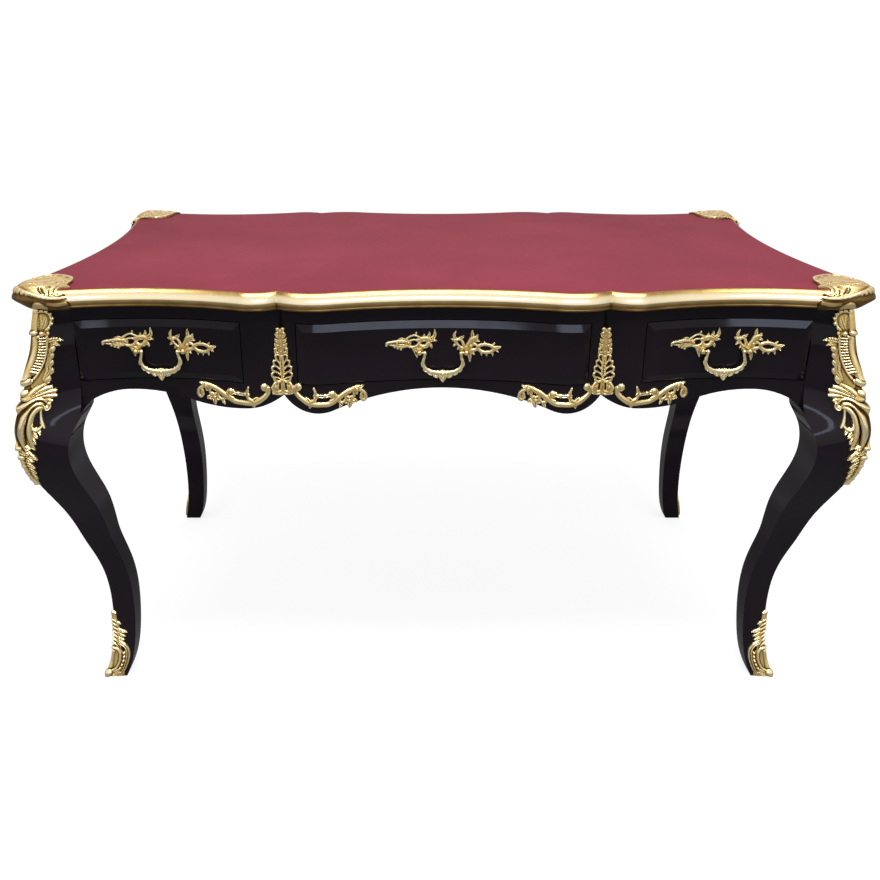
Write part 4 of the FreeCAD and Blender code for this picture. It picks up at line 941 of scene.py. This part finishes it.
for side_name, hand in SIDES:
    on_outer = on_front(hand * CUSP_PLACE, OVERHANG, hand, CUSP_LEVEL + OUTER_RAISED)
    outer = casting(f"gilt_scroll_outer_{side_name}", SCROLL, on_outer, "carcase", step=0.55)
    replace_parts(outer, f"scroll_mount_outer_{side_name}")
    inner = casting(f"gilt_scroll_inner_{side_name}", SCROLL, on_inner(hand), "carcase", step=0.55)
    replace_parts(inner, f"scroll_mount_inner_{side_name}")

# Leg mounts wrap the outer arris: half of each drawing lies on either face of the leg
# Stations of the leg: level, the arris, and the far corners of the front and the side face
LEG_STATIONS = np.array([
    (0, 652, 358, 616, 358, 652, 322),
    (55, 639, 345, 599, 345, 639, 305),
    (145, 633, 339, 591, 339, 633, 297),
    (253, 643, 349, 598, 349, 643, 304),
    (337, 666, 372, 611, 372, 666, 317),
    (400, 688, 394, 621, 394, 688, 327),
    (460, 711, 417, 637, 417, 711, 343),
    (520, 719, 425, 639, 425, 719, 345),
    (575, 712, 418, 618, 382.5, 676.5, 324),
    (620, 703, 409, 618, 368.5, 669.5, 324),
    (690, 688, 394, 618, 368.5, 669.5, 324),
    (755, 676, 382, 618, 368.5, 669.5, 324),
])
# The normal turns from face to face within this distance of the arris
ARRIS_SOFT = 9.0
# Middle line of the knee's channel, and its ribs: how many, their half length and the last one's slope
CHANNEL = [(15.4, 701), (17, 684), (15, 663), (9.4, 646)]
CHANNEL_RIBS = 13
RIB_HALF = 5.0
RIB_SLOPE = 0.35
# Levels at which the feathers of the foot's stem start
FEATHERS = (121, 112.6, 104.2, 95.8, 87.4, 79.0, 70.6)


def on_leg(hand_x, hand_y):
    """Places a drawing round a leg's outer arris: along the front face, or along the side face.

    The stations' corners are carried by cubics through the level. A point goes along its
    face from the arris, and out along a normal that turns smoothly from face to face.
    """
    levels = LEG_STATIONS[:, 0]

    def place(u, v, h):
        station = hermite(levels, LEG_STATIONS[:, 1:], np.clip(v, levels[0], levels[-1]))
        arris = station[:, 0:2]
        to_front = unit(station[:, 2:4] - arris)
        to_side = unit(station[:, 4:6] - arris)
        out_front = np.stack([to_front[:, 1], -to_front[:, 0]], 1)
        out_side = np.stack([-to_side[:, 1], to_side[:, 0]], 1)
        turn = np.clip(0.5 + 0.5 * u / ARRIS_SOFT, 0.0, 1.0)
        turn = (turn * turn * (3 - 2 * turn))[:, None]
        out = unit(out_side * (1 - turn) + out_front * turn)
        along = np.where((u >= 0)[:, None], to_front, to_side)
        spot = arris + along * np.abs(u)[:, None] + out * h[:, None]
        return np.stack([hand_x * spot[:, 0], -hand_y * spot[:, 1], v], -1)
    return place


def channel_ribs():
    """Short ribs across the knee's channel, each a little higher and more sloping than the last."""
    marks = []
    for k, (u, v) in enumerate(smooth_curve(CHANNEL, CHANNEL_RIBS)):
        fall = RIB_HALF * (RIB_SLOPE * k / (CHANNEL_RIBS - 1))
        marks.append(strap((u - RIB_HALF, v + fall, 1.5, 2.2), (u + RIB_HALF, v - fall, 1.5, 2.2),
                           base=3 + 0.1 * k))
    return marks


# Half of the knee mount: a shell, a beaded strap with a wing, a great C scroll and a leafy drop
KNEE = [
    strap((0, 742, 10, 1.6), (0, 712, 14, 1.6), (6, 690, 19, 1.6), (4, 655, 21, 1.6), (0, 625, 28, 1.6),
          (0, 604, 26, 1.6), (0, 585, 16, 2), (0, 545, 14, 2), (0, 512, 13, 2), (0, 475, 8, 2),
          (0, 446, 3.6, 2), shape="flat"),
    # Shell under the top, with a curled rim
    strap((0, 746, 6.4, 3.8), (0, 714, 7, 4), shape="flat"),
    strap((12, 736, 11, 2.4), (15, 722, 12, 2.4), shape="flat"), leaf(5, 3.6, (10, 712), (9, 728), (8, 743)),
    leaf(5, 3.6, (12, 712), (16, 726), (18, 739)), leaf(4.6, 3.4, (13, 711), (21, 720), (25, 730)),
    strap((3, 745, 2, 4.6), (13, 745, 2.2, 4.8), (21, 741, 2.4, 5), (25.6, 732, 2.6, 5), (25, 722, 2.8, 4.8),
          (20, 715, 2.8, 4.6)),
    *beads((9.6, 747.4, 3.8, 5.8), (17, 746, 4.2, 6.2), (23.8, 741, 4.4, 6.4), (27.8, 733.4, 4.4, 6.2),
           (27.6, 724.8, 4.2, 5.8), (23.6, 717.4, 3.8, 5.4), (13.5, 709, 5.8, 6.6), (3, 711, 5.4, 6.8),
           (23.5, 709, 3.8, 5), (8.6, 704, 3.8, 5.4)),
    # Strap with a broad outer rim, a ribbed channel and a rolled end
    strap((5.4, 704, 5.2, 3.6), (7, 684, 5.4, 4), (5.2, 664, 5.6, 4.8), (1.4, 646, 6.2, 6),
          (0, 634, 6.4, 7.2)),
    strap((22.6, 704, 2.6, 5.6), (24.4, 684, 2.7, 5.9), (22.6, 662, 2.9, 6.2), (15.8, 643, 3.2, 6.4),
          (6, 629, 3.8, 6.8)),
    strap((15.4, 704, 6.4, 3), (17, 684, 6.6, 3.2), (15, 663, 6.6, 3.6), (9.2, 646, 6, 4.4), shape="flat"),
    bead(0, 631, 8.8, 10), groove((11, 632), (5, 638), (0, 632), wide=1.1, deep=1.8),
    # Wing beside the strap: a scalloped plate under a horn
    strap((26, 688, 10, 3), (26, 673, 10.5, 3), (25.6, 657, 11.5, 3), (24, 641, 12.5, 3.2),
          (18, 627, 13, 3.2), shape="flat"),
    leaf(5, 5.4, (20, 694), (34, 697.5), (49, 695)), leaf(4, 4.2, (26, 690), (36, 690), (45, 686)),
    *beads((33, 681, 6.2, 3.4, 0.8), (32.6, 669.6, 6.2, 3.4, 0.8), (33.4, 657, 6.8, 3.6, 0.8),
           (35.4, 643.4, 7.2, 3.8, 0.8), (32.4, 630, 7.6, 4, 0.8)),
    leaf(4.6, 2.6, (25, 684), (30, 668), (28, 648), base=2.2),
    leaf(5.4, 3, (28, 660), (32, 646), (26, 630), base=2.2),
    # Collar over the C scroll: a fan of lobes
    strap((2, 603, 5, 6.2), (14, 614, 6.4, 5.8), (29, 623, 3.8, 4.2)),
    strap((3, 602, 5, 6.6), (20, 612, 6.8, 6), (41, 617, 3.6, 4.2)),
    strap((4, 601, 5, 6.8), (26, 608, 7, 6.2), (49, 610, 3.6, 4.4)),
    strap((6, 600, 4.6, 7), (28, 603.4, 6.2, 6.2), (51, 601.5, 3.4, 4.4)),
    strap((10, 598.5, 4, 7), (30, 598.5, 5.2, 5.8), (45, 593.6, 3, 4.4)), bead(0, 611, 7.2, 7.2),
    groove((8, 606), (22, 615), (34, 620)), groove((9, 604), (26, 609.6), (44, 613.6)),
    groove((11, 602), (30, 605.2), (49, 605.6)), groove((14, 600.4), (31, 601), (47, 597.6)),
    # C scroll: an outer band, a broad inner band and a pierced eye
    strap((37.4, 585, 6.4, 6.6), (32, 593, 7.6, 7.6), (22, 596.5, 8.8, 9), (10, 592, 9.4, 10.4),
          (2, 580, 9.8, 11.8), (-0.6, 562, 9.6, 12.4), (-0.4, 544, 8.8, 11.6), (2.6, 526, 7.4, 9.8),
          (7.4, 511, 4.8, 7.2), shape="flute"),
    strap((33, 585, 4.2, 6), (24.6, 584, 5.8, 6.8), (16, 575, 6.8, 7.4), (12.6, 561, 7, 7.6),
          (13.4, 546, 6.4, 7), (17, 531, 4.6, 5.6), (21, 521, 2.6, 4)),
    bead(38, 584, 6.2, 7.8), volute(37.6, 584.4, 7, 2.4, 60, -0.9, 2.4, 5.6, 2.4),
    strap((29, 583, 3, 5.2), (29.6, 574, 3, 5), (31.4, 564, 3.4, 5), (35, 555, 3.6, 5), (38, 551, 2.4, 4.4)),
    strap((17, 551, 3.2, 4.8), (23.6, 547.4, 3.2, 4.8), (29.4, 549.6, 3.4, 5), (33.6, 555, 2.8, 4.6)),
    leaf(3.6, 4.6, (24, 550), (30, 545), (33, 539)), leaf(3.8, 4.6, (18, 546), (24, 539), (29, 533.6)),
    leaf(4, 4.6, (16, 539), (21, 531), (26.4, 524)), leaf(4, 4.6, (12, 530), (18, 521), (24.4, 513.4)),
    hole((23.4, 574, 2.4), (22.8, 565, 3.2), (24.6, 555.6, 2.4)),
    # Leafy drop
    leaf(6.4, 8, (0, 523), (8, 519), (16, 517)), leaf(6, 8, (0, 513), (7, 508), (14, 509)),
    bead(0, 518, 6.4, 11), bead(0, 500, 6.8, 10), leaf(5.4, 6, (6, 516), (14, 505), (24, 494.6)),
    leaf(5.6, 7, (0, 506), (8, 498), (17, 492)), leaf(5.2, 6.6, (0, 495), (7, 486), (14, 478)),
    leaf(4.6, 6, (0, 486), (5.4, 476), (11.4, 467)), leaf(4, 5.4, (0, 474), (4.4, 465), (8.8, 456)),
    strap((0, 492, 5.4, 7.8), (0, 474, 4.8, 7.2), (0, 456, 3.8, 6.4), (0, 444, 2.8, 5.4)),
    *beads((0, 484, 5, 9), (0, 469, 4.4, 8.2), (0, 455, 3.8, 7.4), (0, 444.5, 3.2, 6.6)),
] + channel_ribs()
# Half of the foot mount: a feathered stem with leaf tips over a C scroll and a toe
FOOT = [
    strap((0, 133, 5, 1.2), (0, 112, 7, 1.2), (0, 96, 11, 1.2), (0, 80, 15, 1.2), (0, 62, 19, 1.2),
          (0, 40, 27, 1.2), (0, 18, 29, 1.2), (0, 2, 30, 1.2), shape="flat"),
    strap((0, 134, 5, 3.8), (0, 124, 5.4, 3.6), (0, 112, 6, 3.6), (0, 98, 6, 3.6)),
    strap((0, 136, 3.4, 4.6), (5.2, 133.6, 2.2, 4.2)), leaf(3, 4, (2, 114), (8, 112.6), (13.6, 109)),
    leaf(3.8, 4.4, (3, 100), (12, 95), (24.4, 91.6)), leaf(3.2, 4, (4, 92), (13, 86), (22.4, 82.4)),
    leaf(3, 3.8, (4, 84), (12, 78), (20, 75)), leaf(3.8, 4.4, (4, 76), (12, 70), (22.4, 66.4)),
    strap((9, 68, 3, 3.8), (18, 65, 3.8, 4.6), (26.6, 55, 4.2, 4.8), (30, 41, 4.4, 4.8),
          (29.4, 25, 4.2, 4.6), (26, 10, 3.8, 4.2), (21, 2.5, 3, 3.8), shape="flute"),
    strap((0, 58, 3.2, 5.2), (6.4, 56.6, 3.2, 5), (12.4, 49, 3.2, 4.8), (15, 38, 3.2, 4.6),
          (14.6, 26, 3, 4.4), (10.4, 16.6, 2.8, 4.6), (4, 12.6, 3, 5.2)),
    *beads((20.6, 46.4, 3, 3.8), (22.2, 38.6, 3, 3.8), (22.4, 30.6, 3, 3.8), (21, 22.8, 2.8, 3.6),
           (18.4, 15.6, 2.6, 3.4)),
    leaf(4.8, 4.8, (16, 13), (9, 8.6), (2, 8)), leaf(3.4, 4.4, (20, 8), (11, 3.6), (2, 3.4)),
    bead(0, 9, 7.4, 9.6), bead(0, 3.6, 4.6, 8.6), strap((0, 50, 4, 3.4), (0, 34, 4.4, 3), (0, 20, 5, 4.4)),
    hole((16, 58.4, 2.6), (18.6, 53.6, 3.2), (19.6, 51.4, 2.4)),
    # Feathers down the stem
    *[strap((0, level, 2, 5.6), (4.4, level - 4.6, 1.7, 5), (8.4, level - 10.4, 1.2, 3.6))
      for level in FEATHERS],
]

for corner, hand_x, hand_y in CORNERS:
    wrapped = on_leg(hand_x, hand_y)
    piece = casting(f"gilt_knee_{corner}", KNEE, wrapped, "carcase", step=0.85, rim=1.4, sunk=1.4,
                    mirrored=True, relief=3.4)
    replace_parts(piece, f"knee_mount_{corner}")
    piece = casting(f"gilt_foot_{corner}", FOOT, wrapped, "carcase", step=0.6, sunk=1.2,
                    mirrored=True, low_edge=0.2, relief=2.6)
    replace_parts(piece, f"foot_mount_{corner}")

# Corner mounts: drawn on a sheet that wraps the moulding, from its underside up and in over the leather
CAP_PROFILE = [(9.0, 753.6), (3.4, 754.6), (-0.6, 757.6), (-3.2, 762.4), (-4.4, 768.0), (-3.0, 773.6),
               (2.0, 779.2), (8.6, 783.4), (15.0, 785.8), (20.0, 786.6)]
CAP_POINTS = 44
# How far the skirt draws back under the tip, and how far along the outline it does so
CAP_RECESS = 14.0
CAP_RECESS_REACH = 24.0
# The skirt starts to draw back at this level, and is fully back this far below it
CAP_RECESS_TOP = 770.0
CAP_RECESS_DROP = 16.0
CAP_RECESS_BEND = 0.8
# Swelling of the shield behind its tip: rise, place on the sheet and reach along and across
CAP_SWELL = (4.5, 46.0, 34.0, 17.0)
# Length of the sheet past the moulding's crest, and the rows that rule it
CAP_SPAN = 48.0
CAP_RULED = 24
# The inner edge over the leather: distance along the outline from the corner, place, depth and level
CAP_INNER = np.array([
    (-100, 608, -386, 786.4), (-78, 618, -384, 786.4), (-60, 622, -368, 786.6),
    (-40, 623, -346, 786.8), (-20, 629, -327, 786.8), (0, 640, -314, 786.8),
    (20, 654, -307, 786.8), (40, 667, -306, 786.8), (60, 676, -308, 786.6),
    (80, 683, -308, 786.4), (100, 686, -296, 786.4)])
# Knobs punched into the shield's ground, and the seed of their places
PUNCHED = 80
PUNCH_SEED = 11


def on_corner(hand_x, hand_y):
    """Places a drawing on the sheet carried round a corner of the top.

    The sheet's first coordinate runs along the outline from the middle of the corner's turn,
    and its second along the section from the underside. Past the moulding's crest the sheet
    is ruled by straight lines to the inner edge. Below the belly the sheet draws back towards
    the desk by a bell curve about the tip. Points and normals are taken from a grid,
    between its nodes in proportion.
    """
    section = smooth_curve(CAP_PROFILE, CAP_POINTS)
    grid = swept(section)
    along = lengths_along(top_quarter(0.0))
    along = along - along[TURN_MIDDLE]
    low = np.clip((CAP_RECESS_TOP - section[:, 1]) / CAP_RECESS_DROP, 0.0, 1.0)
    drawn_in = CAP_RECESS * np.exp(-(along / CAP_RECESS_REACH) ** 2)[:, None] * low ** CAP_RECESS_BEND
    grid[..., 0] -= drawn_in * math.sqrt(0.5)
    grid[..., 1] += drawn_in * math.sqrt(0.5)
    knots = CAP_INNER[:, 0]
    inner = hermite(knots, CAP_INNER[:, 1:], np.clip(along, knots[0], knots[-1]))
    share = np.linspace(0.0, 1.0, CAP_RULED + 1)[1:, None]
    ruled = grid[:, -1:] * (1 - share) + inner[:, None] * share
    grid = np.concatenate([grid, ruled], 1)
    up = lengths_along(section)
    up = np.concatenate([up, up[-1] + CAP_SPAN * share[:, 0]])
    normal = unit(np.cross(np.gradient(grid, axis=0), np.gradient(grid, axis=1)))
    normal = normal * np.sign(normal[TURN_MIDDLE, -CAP_RULED // 2, 2])

    def place(u, v, h):
        row = np.interp(u, along, np.arange(len(along)))
        column = np.interp(v, up, np.arange(len(up)))
        i = np.clip(row.astype(int), 0, len(along) - 2)
        j = np.clip(column.astype(int), 0, len(up) - 2)
        s, t = (row - i)[:, None], (column - j)[:, None]

        def between(table):
            return ((table[i, j] * (1 - s) + table[i + 1, j] * s) * (1 - t)
                    + (table[i, j + 1] * (1 - s) + table[i + 1, j + 1] * s) * t)
        rise, level, reach, depth = CAP_SWELL
        swell = rise * np.exp(-(u / reach) ** 2 - ((v - level) / depth) ** 2)
        spot = between(grid) + between(normal) * (h + swell)[:, None]
        return spot * (hand_x, hand_y, 1)
    return place


draw = np.random.default_rng(PUNCH_SEED)
punched = [bead(draw.uniform(-58, -3), draw.uniform(44, 92), draw.uniform(1.6, 3.4),
                draw.uniform(0.5, 1.2), 2.1) for k in range(PUNCHED)]
# A shield over the corner with soft folds, bosses, incised dashes and a skirt below, darkened by painted
# shade
SHIELD = mirrored_marks(punched + [
    # Skirt under the shield, with a curled lobe
    strap((0, 20, 19, 0.2), (-25, 18, 17, 0.2), (-50, 15, 14, 0.2), (-80, 14, 13, 0.2), shape="flat"),
    strap((-56, 13, 4.6, 1.6), (-45, 17, 5.6, 2.6), (-36, 12, 4, 1.8)),
    strap((-88, 20, 3.4, 1.4), (-74, 18, 3.6, 1.6), (-62, 19, 3, 1.2)),
    # Shield, its thin lower lip and the lobes of its tip
    strap((0, 68, 33, 2.2), (-24, 66, 35, 2.2), (-46, 57, 29, 2.2), (-70, 45, 18, 2.2), shape="flat"),
    strap((-60, 52, 17, 2.2), (-66, 75, 16, 2.2), (-50, 89, 15, 2.2), (-30, 92, 13, 2.2), shape="flat"),
    strap((-88, 28.6, 1.8, 0.8), (-76, 27.4, 1.9, 0.9), (-51, 29.4, 2, 1), (-34, 33, 2.2, 1.2),
          (-14, 36, 2.6, 1.6), (0, 37, 3, 2), base=2.2),
    *beads((-8, 35.6, 4.2, 3.2, 1.4), (-18, 34.4, 3.6, 2.6, 1.4), (-27, 33.6, 3, 1.8, 1.4)),
    # Soft folds, bosses and the scrolled lobe over the leather
    strap((-8, 44, 7, 0.4), (-26, 54, 10, 1.2), (-48, 66, 9, 0.9), (-64, 76, 5, 0.3), base=2.1),
    strap((-10, 62, 6, 0.4), (-19, 80, 9, 1.3), (-26, 96, 6, 0.6), base=2.1),
    *beads((-25, 68, 6.6, 2, 2.4), (-43, 96, 6.2, 1.6, 2.2), (-26, 99, 4.8, 1.4, 2.2)),
    strap((-74, 70, 2.6, 0.8), (-66, 86, 2.9, 1.2), (-54, 98, 3.2, 1.5), (-36, 102, 3.2, 1.5),
          (-18, 101, 3, 1.4), (0, 100, 3, 1.5), base=2),
    leaf(3, 2.4, (-48, 53), (-55, 50), (-61, 47), base=2.2),
    groove((-40, 70), (-41, 70.4), wide=1.8, deep=2.2), groove((-46, 86), (-46.6, 86.4), wide=1.8, deep=2.2),
    groove((-31, 46), (-39, 40), (-48, 35), wide=1, deep=1.9),
    groove((-35, 47), (-43, 41), (-51, 36), wide=1, deep=1.9),
    groove((-42, 44), (-49, 38), (-55, 34), deep=1.7), groove((-54, 44), (-57, 39), (-61, 35), deep=1.6),
    groove((-62, 46), (-64, 42), (-66, 38)), groove((-20, 50), (-24, 57), (-27, 61), deep=1.3),
    groove((-10, 72), (-14, 82), (-16, 90), wide=1), groove((-58, 60), (-56, 68), (-58, 76), deep=1.2),
    groove((-8, 46), (-12, 50), (-14, 56), deep=1.3), hole((-92, 41, 6), (-82, 45, 7.5), (-76, 46, 7)),
    hole((-97, 60, 8), (-98, 80, 12), (-92, 100, 15)),
    # Two rows of dots by turns
    *[groove((u, v), (u - 0.4, v + 0.4), wide=1, deep=1.5)
      for u, v in ((-62, 32), (-66.4, 34), (-70.8, 32), (-75.2, 34), (-79.6, 32))],
]) + [
    strap((0, 40, 6, 1.4), (0, 70, 7, 1.6), (0, 96, 5, 1.2), base=2), bead(0, 36, 4.8, 3.6, 1.6),
]

for corner, hand_x, hand_y in CORNERS:
    # Their skirts lie low and are darkened: painted shade under the shields' overhang
    piece = casting(f"gilt_corner_{corner}", SHIELD, on_corner(hand_x, hand_y), "carcase", step=0.9,
                    sunk=1.6, low_edge=1.0, relief=3.6, painted_shade_below=1.8, material=matted_gilt)
    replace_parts(piece, f"corner_mount_{corner}")


# Finishes of the solids that stay
def finish_of(node):
    """The material that a solid left in view is made of."""
    if node.startswith("handle_posts"):
        return turned_gilt
    if node.startswith(("partition", "drawer_runners", "corner_blocks")):
        return stained_wood
    if node.startswith(("drawer_sides", "drawer_back", "drawer_bottom")):
        return wood
    return lacquer


for name, solid in nodes.items():
    if solid.hide_render:
        continue
    solid.data.materials.clear()
    solid.data.materials.append(finish_of(name))

# Studio: a pale floor, soft light from above and in front, and the photograph's camera
bpy.context.scene.view_settings.view_transform = "Standard"
WHITE = linear("#FFFFFF")
# Half the floor's width, in metres
FLOOR_HALF = 30.0
# Strengths at which the camera sees the floor and the sky
FLOOR_WHITE = 0.79
SKY_WHITE = 1.05


def show(name, data):
    """An object in the scene that holds the given data."""
    shown = bpy.data.objects.new(name, data)
    bpy.context.scene.collection.objects.link(shown)
    return shown


def seen_white(tree, plain, white):
    """A value that is white to the camera and a plain shade to everything that the floor or sky lights."""
    ray = add(tree, "ShaderNodeLightPath").outputs["Is Camera Ray"]
    return add(tree, "ShaderNodeMix", {0: ray, 2: plain, 3: white}, data_type="FLOAT").outputs[0]


floor_material, floor_tree, floor_shader = new_material("pale_studio_floor")
fill(floor_tree, floor_shader, {
    "Base Color": linear("#8C8C8C"),
    "Roughness": 0.9,
    "Specular IOR Level": 0.0,
    "Emission Color": WHITE,
    "Emission Strength": seen_white(floor_tree, 0.0, FLOOR_WHITE),
})
floor_mesh = bpy.data.meshes.new("studio_floor")
floor_corners = [(x * FLOOR_HALF, y * FLOOR_HALF, 0.0) for x, y in ((-1, -1), (1, -1), (1, 1), (-1, 1))]
floor_mesh.from_pydata(floor_corners, [], [(0, 1, 2, 3)])
floor_mesh.materials.append(floor_material)
floor = show("studio_floor", floor_mesh)

# The sky brightens with height, and again in front of the desk
world = bpy.data.worlds.new("studio")
bpy.context.scene.world = world
world.use_nodes = True
sky_tree = world.node_tree
sky_way = add(sky_tree, "ShaderNodeTexCoord").outputs["Generated"]
sky_parts = add(sky_tree, "ShaderNodeSeparateXYZ", {"Vector": sky_way}).outputs
overhead = ranged(sky_tree, sky_parts["Z"], low=0.62, high=0.82, from_high=0.55,
                  interpolation_type="SMOOTHSTEP")
in_front = ranged(sky_tree, sky_parts["Y"], low=0.24, high=0.0, from_low=-0.95, from_high=-0.2,
                  interpolation_type="SMOOTHSTEP")
fill(sky_tree, sky_tree.nodes["Background"], {
    "Color": WHITE,
    "Strength": seen_white(sky_tree, summed(sky_tree, overhead, in_front), SKY_WHITE),
})


def soft_light(name, place, aim, wide, tall, power, colour):
    """A rectangular lamp at a place, facing a point, with lengths in metres and power in watts."""
    lamp = bpy.data.lights.new(name, "AREA")
    lamp.shape = "RECTANGLE"
    lamp.size = wide
    lamp.size_y = tall
    lamp.energy = power
    lamp.color = linear(colour)[:3]
    holder = show(name, lamp)
    holder.location = place
    from_lamp = Vector(aim) - Vector(place)
    holder.rotation_euler = from_lamp.to_track_quat("-Z", "Y").to_euler()


soft_light("overhead_softbox", place=(0.0, -0.7, 2.6), aim=(0.0, 0.0, 0.7), wide=2.4, tall=0.9, power=76.0,
           colour="#F4F7FF")
soft_light("window_strip", place=(0.5, -3.0, 2.72), aim=(0.1, -0.4, 0.72), wide=2.5, tall=0.36, power=20.0,
           colour="#D6E3FF")
soft_light("back_softbox", place=(0.0, 2.6, 2.5), aim=(0.0, 0.0, 0.8), wide=3.4, tall=1.0, power=14.0,
           colour="#FFF9F0")

# The camera fitted to the photograph looks down by this angle
CAMERA_DOWN = 0.3747
camera_data = bpy.data.cameras.new("photo_camera")
camera_data.lens = 38.46
camera_data.sensor_width = 36.0
camera_data.shift_x = 0.0283
camera_data.shift_y = -0.0182
camera = show("photo_camera", camera_data)
camera.location = (-0.0471, -1.9053, 1.1429)
camera.rotation_euler = (math.pi / 2 - CAMERA_DOWN, 0.0, 0.0)
bpy.context.scene.camera = camera
